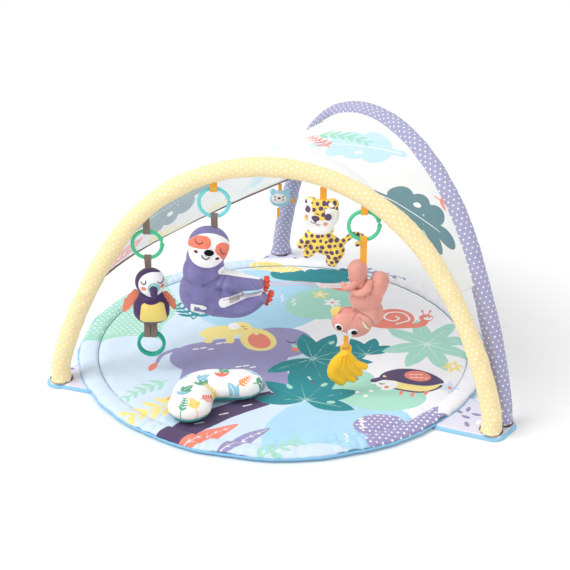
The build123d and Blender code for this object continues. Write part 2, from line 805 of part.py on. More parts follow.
with BuildPart() as music_case_back:
    with BuildSketch(module_plane):
        Circle(case_radius)
    extrude(amount=-half)
    fillet(music_case_back.faces().sort_by(Axis(module, toy_front))[0].edges(), case_edge)
    with BuildSketch(module_plane):
        Circle(case_radius - case_wall)
    extrude(amount=-(half - case_wall), mode=Mode.SUBTRACT)
    with BuildSketch(module_plane):
        for ring in grille_rings:
            with PolarLocations(ring, round(ring * 1.5)):
                Circle(grille_hole)
    extrude(amount=-case_height, mode=Mode.SUBTRACT)
save(music_case_back.part, "music_case_back")

with BuildPart() as music_button:
    with BuildSketch(module_plane.offset(half - case_wall - button_rim_thickness - rest_gap)):
        Circle(button_radius + button_rim)
    extrude(amount=button_rim_thickness)
    with BuildSketch(module_plane.offset(half - case_wall - rest_gap)):
        Circle(button_radius)
    extrude(amount=case_wall + rest_gap + button_height)
    fillet(music_button.faces().sort_by(Axis(module, toy_front))[-1].edges(), button_edge)
save(music_button.part, "music_button")

button_low = half - case_wall - button_rim_thickness - rest_gap - button_travel
board_level = button_low - switch_gap - switch_height
with BuildPart() as music_board:
    with BuildSketch(module_plane.offset(board_level - board_thickness)):
        Circle(case_radius - case_wall)
        with Locations((0, -case_radius + 3)):
            Rectangle(8, 6, mode=Mode.SUBTRACT)
    extrude(amount=board_thickness)
    with BuildSketch(module_plane.offset(board_level)):
        Rectangle(switch_width, switch_width)
    extrude(amount=switch_height)
save(music_board.part, "music_board")

with BuildPart() as music_speaker:
    with BuildSketch(module_plane.offset(-half + case_wall)):
        Circle(speaker_radius)
    extrude(amount=speaker_height)
    with BuildSketch(module_plane.offset(-half + case_wall + speaker_height)):
        Circle(magnet_radius)
    extrude(amount=magnet_height)
save(music_speaker.part, "music_speaker")

with BuildPart() as music_cells:
    with BuildSketch(module_plane.offset(-half + case_wall)):
        with PolarLocations(cell_ring, 3, start_angle=90):
            Circle(cell_radius)
    extrude(amount=cell_height)
save(music_cells.part, "music_cells")

# Leopard
leopard = hanging_plane("leopard")
with BuildPart() as leopard_body:
    for form in leopard_forms:
        cushion(leopard, *form)
    for shoulder, paw in leopard_limbs:
        limb(leopard, shoulder, paw, leopard_limb_radius)
    with BuildLine(leopard) as tail:
        Spline(*leopard_tail)
    with BuildSketch(Plane(origin=tail.line @ 0, z_dir=tail.line % 0)):
        Circle(leopard_tail_radius)
    sweep(path=tail.line)
    with Locations(Location(tail.line @ 1)):
        Sphere(leopard_tail_radius)
save(leopard_body.part, "leopard_body")

with BuildPart() as leopard_strap:
    with BuildSketch(Plane(origin=leopard.origin, x_dir=toy_front, z_dir=-toy_right)):
        with Locations((0, -leopard_strap_length / 2)):
            SlotOverall(leopard_strap_length + 2 * ribbon, 2 * ribbon, rotation=90)
    extrude(amount=ribbon_width / 2, both=True)
save(leopard_strap.part, "leopard_strap")

# Upside-down plush, with the banana teether below its head
plush = hanging_plane("plush", 2 * link_radius)
with BuildPart() as plush_body:
    for form in plush_forms:
        cushion(plush, *form)
    for shoulder, paw, radius in plush_limbs:
        limb(plush, shoulder, paw, radius)
save(plush_body.part, "plush_body")

with BuildPart() as plush_ears:
    with BuildSketch(plush.offset(-felt)):
        with Locations(plush_ear):
            Circle(plush_ear_radius)
    extrude(amount=2 * felt)
save(plush_ears.part, "plush_ears")

with BuildPart() as plush_straps:
    ribbon_loop(plush, 0, 0, plush_strap_end, strap_hole)
    eye_radius = banana_bar + strap_slack
    ribbon_loop(plush, banana_x, banana_y, plush_lower_strap_end, eye_radius, banana_strap_width)
save(plush_straps.part, "plush_straps")

banana_frame = Plane(plush.from_local_coords((banana_x, banana_y, 0)), x_dir=toy_right, z_dir=toy_front)
slot_width = banana_strap_width + 2 * joint_gap + 1
slot_height = banana_bar + strap_slack + ribbon + joint_gap
with BuildPart() as banana_teether:
    # Stem: a round bar between two posts, which the ribbon goes round
    bar_start = banana_frame.from_local_coords((-slot_width / 2 - banana_post, 0, 0))
    with BuildSketch(Plane(origin=bar_start, z_dir=toy_right)):
        Circle(banana_bar)
    extrude(amount=slot_width + 2 * banana_post)
    for side in (-1, 1):
        post_middle = banana_frame.from_local_coords((side * (slot_width + banana_post) / 2, 0, 0))
        with BuildSketch(Plane(origin=post_middle, x_dir=toy_front, z_dir=-toy_right)):
            with Locations((0, -slot_height / 2)):
                SlotOverall(slot_height + 2 * banana_bar, 2 * banana_bar, rotation=90)
        extrude(amount=banana_post / 2, both=True)
    with BuildSketch(banana_frame):
        with Locations((0, -slot_height - banana_neck / 2)):
            Rectangle(slot_width + 2 * banana_post, banana_neck)
    extrude(amount=banana_bar, both=True)
    # Four bananas in a bunch
    for bulge, tip, size in banana_fingers:
        with BuildLine(banana_frame) as curve:
            ThreePointArc((0, -slot_height - 10), bulge, tip)
        with BuildSketch(Plane(origin=curve.line @ 0, z_dir=curve.line % 0)):
            Circle(size)
        sweep(path=curve.line)
        with Locations(Location(curve.line @ 1)):
            Sphere(size)
save(banana_teether.part, "banana_teether")

# Small toy on the canopy's free edge
edge_point = canopy_point(0, back_toy_across) - up * (binding_thickness / 2 + ribbon + joint_gap)
back_toy = Plane(origin=edge_point, x_dir=toy_right, z_dir=toy_front)
with BuildPart() as back_toy_body:
    cushion(back_toy, *back_toy_form)
save(back_toy_body.part, "back_toy_body")

with BuildPart() as back_toy_ribbons:
    with BuildSketch(Plane(origin=edge_point, x_dir=toy_front, z_dir=-toy_right)):
        with Locations((0, -back_toy_strap_length / 2)):
            SlotOverall(back_toy_strap_length + 2 * ribbon, 2 * ribbon, rotation=90)
    extrude(amount=back_toy_strap_width / 2, both=True)
    with BuildSketch(back_toy.offset(-ribbon / 2)):
        with Locations((27, -40)):
            Rectangle(12, 10)
        with Locations((-4, -70)):
            Rectangle(6, 24)
    extrude(amount=ribbon)
save(back_toy_ribbons.part, "back_toy_ribbons")

# --- Canopy's satin tab ---

tab_root = rear.at(satin_tab_share)
tab_out = rear.sideways(satin_tab_share, front.at(satin_tab_share))
with BuildPart() as canopy_tab:
    tab_start = tab_root + tab_out * (sleeve_radius - seam_bite)
    with BuildSketch(Plane(origin=tab_start, x_dir=tab_out, z_dir=rear.heading(satin_tab_share))):
        with Locations((satin_tab_width / 2, 2)):
            Rectangle(satin_tab_width, satin_tab_thickness)
    extrude(amount=satin_tab_width / 2, both=True)
save(canopy_tab.part, "canopy_tab")

# --- Tummy-time pillow ---

with BuildPart() as pillow_cover:
    with BuildSketch(Plane.XY.offset(panel_height + rest_gap)):
        with BuildLine(mode=Mode.PRIVATE):
            bend = ThreePointArc(*pillow_bend)
        SlotArc(bend, pillow_width)
    extrude(amount=pillow_height)
    levels = pillow_cover.edges().group_by(Axis.Z)
    fillet(levels[-1] + levels[0], pillow_edge)
save(pillow_cover.part, "pillow_cover")

with BuildPart() as pillow_tag:
    tag_root = Vector(*pillow_bend[0]) + Vector(-pillow_width / 2, -8, panel_height + pillow_height / 2)
    with BuildSketch(Plane(origin=tag_root, x_dir=(1, 0, 0), z_dir=(0, 1, 0))):
        Rectangle(tag_length, 2 * ribbon)
    extrude(amount=tag_width)
save(pillow_tag.part, "pillow_tag")
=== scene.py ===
# Activity play gym: the looks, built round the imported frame. Shapes are worked out in millimetres
# and become metres when they turn into meshes. +Z is up, the yellow arch stands on the -Y side.
import json
import math

import bmesh
import bpy
import numpy as np
from mathutils import Matrix, Vector
from mathutils.bvhtree import BVHTree


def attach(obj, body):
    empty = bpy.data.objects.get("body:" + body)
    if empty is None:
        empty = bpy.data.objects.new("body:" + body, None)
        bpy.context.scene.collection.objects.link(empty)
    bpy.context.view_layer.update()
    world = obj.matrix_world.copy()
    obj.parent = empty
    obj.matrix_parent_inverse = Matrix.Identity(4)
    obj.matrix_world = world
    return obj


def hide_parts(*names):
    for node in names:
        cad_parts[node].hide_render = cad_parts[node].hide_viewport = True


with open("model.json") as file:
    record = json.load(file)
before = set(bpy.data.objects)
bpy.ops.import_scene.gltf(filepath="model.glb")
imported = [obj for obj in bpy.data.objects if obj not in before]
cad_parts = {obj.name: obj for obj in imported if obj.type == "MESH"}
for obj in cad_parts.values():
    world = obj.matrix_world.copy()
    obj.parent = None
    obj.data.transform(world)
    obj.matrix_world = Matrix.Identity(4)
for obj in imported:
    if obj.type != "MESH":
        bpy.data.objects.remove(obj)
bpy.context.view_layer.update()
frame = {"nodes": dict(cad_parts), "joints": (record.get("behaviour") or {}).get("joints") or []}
joints = {joint["name"]: joint for joint in frame["joints"]}
print("frame loaded:", len(frame["nodes"]), "nodes")


def tone(red, green, blue):
    # display colour 0-255 to linear light
    parts = np.array([red, green, blue]) / 255.0
    linear = np.where(parts <= 0.04045, parts / 12.92, ((parts + 0.055) / 1.055) ** 2.4)
    return (*[float(part) for part in linear], 1.0)


class Wire:
    # one node socket; arithmetic on it adds Math nodes
    def __init__(self, socket):
        self.socket = socket
        self.tree = socket.id_data

    def out(self, name):
        return Wire(self.socket.node.outputs[name])

    def run(self, operation, *others, clamp=False):
        node = self.tree.nodes.new("ShaderNodeMath")
        node.operation = operation
        node.use_clamp = clamp
        for place, value in zip(node.inputs, (self, *others)):
            join(place, value)
        return Wire(node.outputs[0])

    def __add__(self, other):
        return self.run("ADD", other)

    __radd__ = __add__

    def __mul__(self, other):
        return self.run("MULTIPLY", other)

    __rmul__ = __mul__

    def __sub__(self, other):
        return self.run("SUBTRACT", other)

    def __rsub__(self, other):
        return (self * -1.0) + other

    def __truediv__(self, other):
        return self.run("DIVIDE", other)

    def clamped(self):
        return self.run("MULTIPLY", 1.0, clamp=True)


def join(place, value):
    # a link for a Wire, a default for anything else
    if isinstance(value, Wire):
        value.tree.links.new(value.socket, place)
    else:
        place.default_value = value


class Finish:
    # a material with one Principled shader
    def __init__(self, name):
        self.material = bpy.data.materials.new(name)
        self.material.use_nodes = True
        self.tree = self.material.node_tree
        self.tree.nodes.clear()
        self.shader = self.tree.nodes.new("ShaderNodeBsdfPrincipled")
        output = self.tree.nodes.new("ShaderNodeOutputMaterial")
        self.tree.links.new(self.shader.outputs[0], output.inputs["Surface"])

    def add(self, kind, settings=None, inputs=None, output=0):
        node = self.tree.nodes.new("ShaderNode" + kind)
        for key, value in (settings or {}).items():
            setattr(node, key, value)
        for key, value in (inputs or {}).items():
            join(node.inputs[key], value)
        return Wire(node.outputs[output])

    def mix(self, factor, first, second, blend="MIX"):
        # blends two colours by a factor
        node = self.tree.nodes.new("ShaderNodeMix")
        node.data_type = "RGBA"
        node.blend_type = blend
        colours = [place for place in node.inputs if place.type == "RGBA"]
        join(node.inputs[0], factor)
        join(colours[0], first)
        join(colours[1], second)
        return Wire([place for place in node.outputs if place.type == "RGBA"][0])

    def place(self):
        # the point on the piece, in metres
        return self.add("TexCoord", output="Object")

    def noise(self, scale, detail=3.0, roughness=0.55, vector=None):
        # cloudy values round a half, all through the piece
        return self.add(
            "TexNoise",
            None,
            {"Vector": vector or self.place(), "Scale": scale, "Detail": detail, "Roughness": roughness},
        )

    def attribute(self, name):
        # a number painted on the mesh
        return self.add("Attribute", {"attribute_name": name}, output="Fac")

    def ink(self, distance, edge=0.5):
        # 1 inside a drawn shape, 0 outside, from its signed distance in mm
        return (distance * (-1.0 / edge) + 0.5).clamped()

    def uneven(self, colour, amount):
        # a colour made lighter and darker by a factor round 1
        grey = self.add("CombineColor", None, {0: amount, 1: amount, 2: amount})
        return self.mix(1.0, colour, grey, "MULTIPLY")

    def printed(self, colour, layers, edge):
        # flat colours over a ground, each where its painted distance is negative
        for attributeName, layerColour in layers:
            colour = self.mix(self.ink(self.attribute(attributeName), edge), colour, layerColour)
        return colour

    def bump(self, height, strength, distance=0.001):
        # turns a height into a slant of the surface
        return self.add(
            "Bump", None, {"Height": height, "Strength": strength, "Distance": distance}, "Normal"
        )

    def set(self, **values):
        for key, value in values.items():
            join(self.shader.inputs[key.replace("_", " ")], value)
        return self


def clothFinish(
    name, ground, layers=(), weave=0.55, bumps=0.25, shade=0.05, sheen=0.15,
    edge=0.5, dots=None, underside=None, glow=0.0,
):
    # woven cloth: printed layers over a ground colour, crossed threads and slow unevenness as bump;
    # glow stands for light that comes through thin cloth to its underside
    look = Finish(name)
    colour = look.mix(dotMask(look, dots), ground, dots["colour"]) if dots else ground
    colour = look.printed(colour, layers, edge)
    if underside:
        colour = look.mix(
            look.attribute(underside["mask"]) * underside["fade"], colour, underside["colour"]
        )
    slow = look.noise(38.0, 2.0)
    fine = look.noise(900.0, 2.0, 0.6)
    colour = look.uneven(colour, (slow - 0.5) * (2.0 * shade) + (fine - 0.5) * shade + 1.0)
    split = look.add("SeparateXYZ", None, {0: look.place()})
    turns = 2000.0 * math.pi / weave
    crossed = (split * turns).run("SINE") * (split.out("Y") * turns).run("SINE")
    threads = crossed + (split.out("Z") * turns).run("SINE")
    height = threads * 0.25 + fine * 0.8 + slow * 0.9
    look.set(Base_Color=colour, Roughness=0.86, Normal=look.bump(height, bumps, 0.0006))
    look.set(Sheen_Weight=sheen, Sheen_Roughness=0.45, Specular_IOR_Level=0.25)
    if glow:
        share = look.attribute(underside["mask"]) * 0.8 + 0.2
        lit = look.mix(share, (0.0, 0.0, 0.0, 1.0), colour)
        look.set(Emission_Color=lit, Emission_Strength=glow)
    return look.material


def dotMask(look, dots):
    # polka dots on the UV map, which is in mm: rows along U, every other row moved by half a pitch
    split = look.add("SeparateXYZ", None, {0: look.add("UVMap", {"uv_map": "millimetres"})})
    along, across = split, split.out("Y")
    row = (along / dots["row"]).run("FLOOR")
    shift = (row / 2.0).run("FRACT")
    du = ((along / dots["row"]).run("FRACT") - 0.5) * dots["row"]
    dv = ((across / dots["pitch"] + shift).run("FRACT") - 0.5) * dots["pitch"]
    distance = (du * du + dv * dv).run("SQRT") - dots["radius"]
    return look.ink(distance, 0.6)


def plushFinish(name, colour, pile=1400.0, bumps=0.5, shade=0.10, sheen=0.5, layers=(), edge=0.7):
    # short pile with sewn-on patches: fine noise for the fibres, slower noise where the pile lies over;
    # painted highlights lighten the ridges and painted shade darkens the creases
    look = Finish(name)
    # painted highlight: ridges lightened towards white
    colour = look.mix(look.attribute("ridges") * 0.30, colour, tone(255, 252, 250))
    colour = look.printed(colour, layers, edge)
    # painted shade: creases darkened towards a deep plum
    deep = look.mix(0.62, colour, tone(40, 26, 60), "MULTIPLY")
    colour = look.mix(look.attribute("creases") * 0.55, colour, deep)
    fibres = look.noise(pile, 3.0, 0.65)
    nap = look.noise(34.0, 3.0, 0.6)
    body = look.uneven(colour, (nap - 0.5) * (2.0 * shade) + (fibres - 0.5) * (1.5 * shade) + 1.0)
    height = fibres * 0.7 + nap * 0.8
    look.set(Base_Color=body, Roughness=0.9, Normal=look.bump(height, bumps, 0.0008))
    look.set(Sheen_Weight=sheen, Sheen_Roughness=0.35, Specular_IOR_Level=0.15)
    return look.material


def ribbonFinish(name, colour, rib=0.9, bumps=0.4):
    # grosgrain ribbon: ribs across the ribbon with a little thread noise
    look = Finish(name)
    split = look.add("SeparateXYZ", None, {0: look.place()})
    ribs = (split.out("Z") * (2000.0 * math.pi / rib)).run("SINE")
    threads = look.noise(1300.0, 2.0)
    body = look.uneven(colour, ribs * 0.035 + (threads - 0.5) * 0.14 + 1.0)
    look.set(Base_Color=body, Roughness=0.62, Normal=look.bump(ribs * 0.4 + threads, bumps, 0.0004))
    look.set(Sheen_Weight=0.2, Specular_IOR_Level=0.35)
    return look.material


def plasticFinish(name, colour, gloss=0.22, clear=0.0, grain=0.0, metal=0.0):
    # moulded plastic or metal: slight flow marks in colour and gloss, fine grain where it is matte
    look = Finish(name)
    flow = look.noise(22.0, 3.0)
    fine = look.noise(1500.0, 2.0)
    body = look.uneven(colour, (flow - 0.5) * 0.10 + 1.0)
    grains = look.bump(fine * grain + flow * 0.3, 0.12, 0.0004)
    look.set(Base_Color=body, Roughness=(flow - 0.5) * 0.12 + gloss, Normal=grains)
    look.set(Metallic=metal, IOR=1.46, Subsurface_Weight=clear)
    look.set(Subsurface_Radius=(0.006, 0.006, 0.006), Subsurface_Scale=1.0)
    return look.material


def meshFrom(name, points, faces, uv=None):
    # points in mm become a mesh in metres with smooth shading
    mesh = bpy.data.meshes.new(name)
    mesh.from_pydata((np.asarray(points, float) * 0.001).tolist(), [], faces)
    mesh.polygons.foreach_set("use_smooth", np.ones(len(mesh.polygons), bool))
    if uv is not None:
        layer = mesh.uv_layers.new(name="millimetres")
        layer.data.foreach_set("uv", np.asarray(uv, np.float32).ravel())
    mesh.update()
    return mesh


def gridFaces(rows, columns, wrapRows=False, wrapColumns=False, first=0):
    # quads between neighbouring grid points
    i = np.arange(rows if wrapRows else rows - 1)[:, None]
    j = np.arange(columns if wrapColumns else columns - 1)[None, :]
    a = i * columns + j
    b = ((i + 1) % rows) * columns + j
    c = ((i + 1) % rows) * columns + (j + 1) % columns
    d = i * columns + (j + 1) % columns
    return (np.stack([a, b, c, d], -1).reshape(-1, 4) + first).tolist()


def addPiece(name, mesh, body, material=None, replaces=(), outward=False):
    # an object on one CAD body; closed shells get their normals turned outwards
    if outward:
        work = bmesh.new()
        work.from_mesh(mesh)
        bmesh.ops.remove_doubles(work, verts=work.verts, dist=1e-7)
        bmesh.ops.recalc_face_normals(work, faces=work.faces)
        work.to_mesh(mesh)
        work.free()
        mesh.polygons.foreach_set("use_smooth", np.ones(len(mesh.polygons), bool))
    piece = bpy.data.objects.new(name, mesh)
    bpy.context.scene.collection.objects.link(piece)
    if material:
        piece.data.materials.append(material)
    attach(piece, body)
    if replaces:
        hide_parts(*replaces)
    return piece


def coordinates(mesh):
    # an array of the mesh's points, in m
    flat = np.empty(len(mesh.vertices) * 3)
    mesh.vertices.foreach_get("co", flat)
    return flat.reshape(-1, 3)


def setCoordinates(mesh, points):
    # moves the mesh's points to those of an array
    mesh.vertices.foreach_set("co", np.asarray(points, float).ravel())
    mesh.update()


def normalsOf(mesh):
    # the direction that the skin faces at each point
    flat = np.empty(len(mesh.vertices) * 3)
    mesh.vertex_normals.foreach_get("vector", flat)
    return flat.reshape(-1, 3)


def paint(mesh, name, values):
    # stores one number for each point, for a material to read
    layer = mesh.attributes.new(name, "FLOAT", "POINT")
    layer.data.foreach_set("value", np.asarray(values, np.float32).ravel())


def ripple(x, y, wave, seed, count=9):
    # smooth unevenness from -1 to 1: cosines of about one wavelength in scattered directions
    picks = np.random.default_rng(seed)
    total = np.zeros(np.broadcast(x, y).shape)
    turns = picks.uniform(0, 2 * np.pi, count)
    stretches = picks.uniform(0.6, 1.6, count)
    phases = picks.uniform(0, 2 * np.pi, count)
    for turn, stretch, phase in zip(turns, stretches, phases):
        total += np.cos(2 * np.pi * stretch / wave * (x * np.cos(turn) + y * np.sin(turn)) + phase)
    return total / (0.75 * count**0.5 * 1.6)


def unit(vectors):
    # vectors of length 1
    return vectors / np.maximum(np.linalg.norm(vectors, axis=-1, keepdims=True), 1e-12)


def sweep(path, profile, reference):
    # a profile (k x 2, or n x k x 2) carried along a path: its first axis lies across the reference
    path = np.asarray(path, float)
    tangent = unit(np.gradient(path, axis=0))
    side = unit(np.cross(np.asarray(reference, float), tangent))
    rise = np.cross(tangent, side)
    profile = np.asarray(profile, float)
    if profile.ndim == 2:
        profile = np.broadcast_to(profile, (len(path), *profile.shape))
    return path[:, None] + profile[..., :1] * side[:, None] + profile[..., 1:] * rise[:, None]


def endFans(faces, rows, columns):
    # triangles from the first and the last ring to the two points that follow the grid's own
    ring = np.arange(columns)
    last = (rows - 1) * columns
    faces += np.stack([np.roll(ring, -1), ring, np.full(columns, rows * columns)], -1).tolist()
    after = np.roll(ring, -1)
    faces += np.stack([last + ring, last + after, np.full(columns, rows * columns + 1)], -1).tolist()
    return faces


def closeEnds(points):
    # rings to a closed shell, with a point at each end
    rows, columns = points.shape[:2]
    flat = np.vstack([points.reshape(-1, 3), points[0].mean(0), points[-1].mean(0)])
    return flat, endFans(gridFaces(rows, columns, wrapColumns=True), rows, columns)


def tubeMesh(name, path, profile, reference):
    # swept solid with closed ends
    return meshFrom(name, *closeEnds(sweep(path, profile, reference)))


def fall(distance, width):
    # 1 on a line, 0 away from it
    return np.exp(-((distance / width) ** 2))


def signedPower(value, power):
    # a power that keeps the sign
    return np.sign(value) * np.abs(value) ** power


def borderOf(rows, columns):
    # the numbers of the points round a grid's edge, in order
    right = np.arange(1, rows) * columns + columns - 1
    far = (rows - 1) * columns + np.arange(columns - 2, -1, -1)
    left = np.arange(rows - 2, 0, -1) * columns
    return np.concatenate([np.arange(columns), right, far, left])


def layered(name, top, low, toy=None):
    # two grids of points, one over the other, joined round their edges
    rows, columns = top.shape[:2]
    count = rows * columns
    edge = borderOf(rows, columns)
    after = np.roll(edge, -1)
    faces = gridFaces(rows, columns) + [face[::-1] for face in gridFaces(rows, columns, first=count)]
    faces += np.stack([edge, after, after + count, edge + count], -1).tolist()
    points = np.vstack([top.reshape(-1, 3), low.reshape(-1, 3)])
    return meshFrom(name, toy.room(points) if toy else points, faces)


def slabMesh(name, middle, thickness, toy=None):
    # a cloth sheet with a wall: the middle surface moved half its thickness each way
    normal = unit(np.cross(np.gradient(middle, axis=0), np.gradient(middle, axis=1)))
    return layered(name, middle + normal * thickness / 2, middle - normal * thickness / 2, toy)


def circle(radius, sides=16, squash=1.0):
    # points of a circle or an ellipse, as a profile
    turn = np.linspace(0, 2 * np.pi, sides, endpoint=False)
    return np.stack([radius * np.cos(turn), radius * squash * np.sin(turn)], -1)


def curveThrough(points, count):
    # Catmull-Rom curve through a few points; two points give a straight line
    points = np.asarray(points, float)
    if len(points) == 2:
        return np.linspace(points[0], points[1], count)
    ends = np.vstack([2 * points[0] - points[1], points, 2 * points[-1] - points[-2]])
    t = np.linspace(0, len(points) - 1, count)
    k = np.minimum(t.astype(int), len(points) - 2)
    f = (t - k)[:, None]
    a, b, c, d = (ends[k + step] for step in (0, 1, 2, 3))
    return 0.5 * (
        2 * b + (c - a) * f + (2 * a - 5 * b + 4 * c - d) * f**2 + (3 * b - a - 3 * c + d) * f**3
    )


# drawing on cloth works with signed distances in mm, negative inside


def disc(p, centre, radius):
    # distance from a circle: length to its centre less its radius
    return np.hypot(p[..., 0] - centre[0], p[..., 1] - centre[1]) - radius


def turned(p, centre, angle):
    # coordinates about a centre, along and across a direction in degrees
    x, y = p[..., 0] - centre[0], p[..., 1] - centre[1]
    c, s = math.cos(math.radians(angle)), math.sin(math.radians(angle))
    return x * c + y * s, y * c - x * s


def oval(p, centre, rx, ry, angle=0.0):
    # distance from an ellipse: the scaled length less 1, over its slope
    x, y = turned(p, centre, angle)
    outer = np.hypot(x / rx, y / ry)
    inner = np.maximum(np.hypot(x / rx**2, y / ry**2), 1e-9)
    return outer * (outer - 1.0) / inner


def bar(p, a, b, ra, rb=None):
    # a stroke with round ends from a to b, its half width going from ra to rb
    rb = ra if rb is None else rb
    ax, ay = b[0] - a[0], b[1] - a[1]
    t = np.clip(((p[..., 0] - a[0]) * ax + (p[..., 1] - a[1]) * ay) / max(ax * ax + ay * ay, 1e-9), 0, 1)
    return np.hypot(p[..., 0] - a[0] - t * ax, p[..., 1] - a[1] - t * ay) - (ra + (rb - ra) * t)


def stroke(p, points, ra, rb=None):
    # bars joined end to end along a smooth curve
    rb = ra if rb is None else rb
    line = curveThrough(points, 4 * (len(points) - 1) + 1)
    widths = np.linspace(ra, rb, len(line))
    total = np.full(p.shape[:-1], 1e3)
    for a, b, wa, wb in zip(line[:-1], line[1:], widths[:-1], widths[1:]):
        total = np.minimum(total, bar(p, a, b, wa, wb))
    return total


def leaf(p, root, tip, width):
    # two arcs meeting in points at root and tip
    ax, ay = (tip[0] - root[0]) / 2, (tip[1] - root[1]) / 2
    half = math.hypot(ax, ay)
    x, y = turned(p, (root[0] + ax, root[1] + ay), math.degrees(math.atan2(ay, ax)))
    w = width / 2
    radius = (half * half + w * w) / (2 * w)
    return np.hypot(x, np.abs(y) + radius - w) - radius


def polar(centre, length, angle):
    # the point at a length and a direction in degrees
    return (
        centre[0] + length * math.cos(math.radians(angle)),
        centre[1] + length * math.sin(math.radians(angle)),
    )


class Print:
    # colour layers painted one over another: a new shape cuts every other layer under it
    def __init__(self, p, names, limit=None):
        self.p = p
        self.limit = limit  # keeps what put() draws to one side of a toy
        self.layers = {name: np.full(p.shape[:-1], 40.0) for name in names}

    def put(self, name, shape, *sizes):
        # one of the shapes above, by its sizes
        distance = shape(self.p, *sizes)
        self.draw(name, distance if self.limit is None else np.maximum(distance, self.limit))

    def several(self, *rows):
        # a list of shapes
        for row in rows:
            self.put(*row)

    def paintOn(self, mesh):
        # hands all colours to a mesh
        for name, values in self.layers.items():
            paint(mesh, name, values)

    def draw(self, name, distance):
        # adds a shape to one colour and cuts it out of the others
        for other in self.layers:
            if other != name:
                self.layers[other] = np.maximum(self.layers[other], -distance)
        if name in self.layers:
            self.layers[name] = np.minimum(self.layers[name], distance)

    def fern(self, name, root, angle, length, pairs, size, bend=0.0):
        # a curved stem with pairs of leaflets that get smaller towards the tip
        line = [polar(root, length * k / 4, angle + bend * k / 4) for k in range(5)]
        self.draw(name, stroke(self.p, line, 0.014 * length + 0.6))
        for k in range(pairs):
            share = (k + 0.7) / pairs
            at = polar(root, length * share, angle + bend * share)
            long = size * (1.0 - 0.45 * share)
            for side in (-1, 1):
                self.draw(
                    name,
                    leaf(self.p, at, polar(at, long, angle + bend * share + side * 48), 0.36 * long),
                )

    def fan(self, name, centre, reach, start, turn, count, width, vein=None):
        # leaflets spread like a hand, each with a pale vein
        for k in range(count):
            angle = start + turn * k / (count - 1)
            long = reach * (0.82 + 0.18 * math.sin(math.pi * (k + 0.5) / count))
            self.draw(name, leaf(self.p, centre, polar(centre, long, angle), width))
        if vein:
            for k in range(count):
                angle = start + turn * k / (count - 1)
                self.draw(
                    vein,
                    bar(self.p, polar(centre, 4, angle), polar(centre, reach * 0.66, angle), 1.1, 0.5),
                )

    def plume(self, name, root, tip, width, vein):
        # one broad leaf with a midrib and slanting veins
        self.draw(name, leaf(self.p, root, tip, width))
        angle = math.degrees(math.atan2(tip[1] - root[1], tip[0] - root[0]))
        length = math.hypot(tip[0] - root[0], tip[1] - root[1])
        self.draw(vein, bar(self.p, root, polar(root, 0.94 * length, angle), 1.0, 0.5))
        for k in range(1, 6):
            at = polar(root, length * (0.12 + 0.13 * k), angle)
            reach = 0.36 * width * math.sin(math.pi * (0.2 + 0.12 * k))
            for side in (-1, 1):
                self.draw(vein, bar(self.p, at, polar(at, reach, angle + side * 42), 0.8))

    def flower(self, petals, middle, centre, size, count=6, turn=0.0):
        # petals round a centre
        for k in range(count):
            angle = turn + 360.0 * k / count
            self.draw(petals, leaf(self.p, centre, polar(centre, size, angle), 0.42 * size))
        self.draw(middle, disc(self.p, centre, 0.2 * size))

    def dots(self, name, inside, pitch, radius):
        # staggered dots kept within a shape
        x, y = self.p[..., 0], self.p[..., 1]
        row = np.floor(y / (0.87 * pitch))
        dx = (x / pitch + 0.5 * (row % 2)) % 1.0 - 0.5
        dy = (y / (0.87 * pitch)) % 1.0 - 0.5
        self.draw(name, np.maximum(np.hypot(dx * pitch, dy * 0.87 * pitch) - radius, inside + 2.0))


mat = {
    "radius": 429.0,
    "panel": 389.0,  # sewn ring
    "panelHeight": 16.6,
    "grooveHeight": 10.5,
    "borderHeight": 19.0,
    "seamHeight": 9.0,
    "cells": 301,
    "puckers": 2.7,
    "gatherFrom": 402.0,  # the rim strays from a circle outside this radius
    "topmost": 20.5,
    # the stitching at the sewn ring, darkened further as painted shade of the seam's groove
    "stitchesAndShade": tone(112, 150, 170),
    "backing": tone(140, 200, 236),
    "ground": tone(250, 249, 253),
    "colours": {
        "sky": tone(216, 233, 250),
        "pond": tone(178, 222, 246),
        "mint": tone(172, 224, 206),
        "lilac": tone(160, 154, 198),
        "teal": tone(44, 142, 150),
        "plum": tone(92, 75, 112),
        "yellow": tone(252, 232, 150),
        "coral": tone(243, 140, 122),
        "white": tone(252, 252, 253),
        "ink": tone(38, 32, 44),
    },
}


def discGrid(cells):
    # a square grid bent into a unit disc so that its rings stay rings
    line = np.linspace(-1, 1, cells)
    a, b = np.meshgrid(line, line, indexing="ij")
    wide = np.abs(a) >= np.abs(b)
    reach = np.where(wide, a, b)
    share = np.where(wide, b, a) / np.where(reach == 0, 1.0, reach)
    turn = share * np.pi / 4
    x = np.where(wide, reach * np.cos(turn), reach * np.sin(turn))
    y = np.where(wide, reach * np.sin(turn), reach * np.cos(turn))
    return x, y


def slanted(points):
    # plan view turned so that prints lie straight for someone at the front
    return np.stack(
        [0.8 * points[:, 0] + 0.6 * points[:, 1], -0.6 * points[:, 0] + 0.8 * points[:, 1]], -1
    )


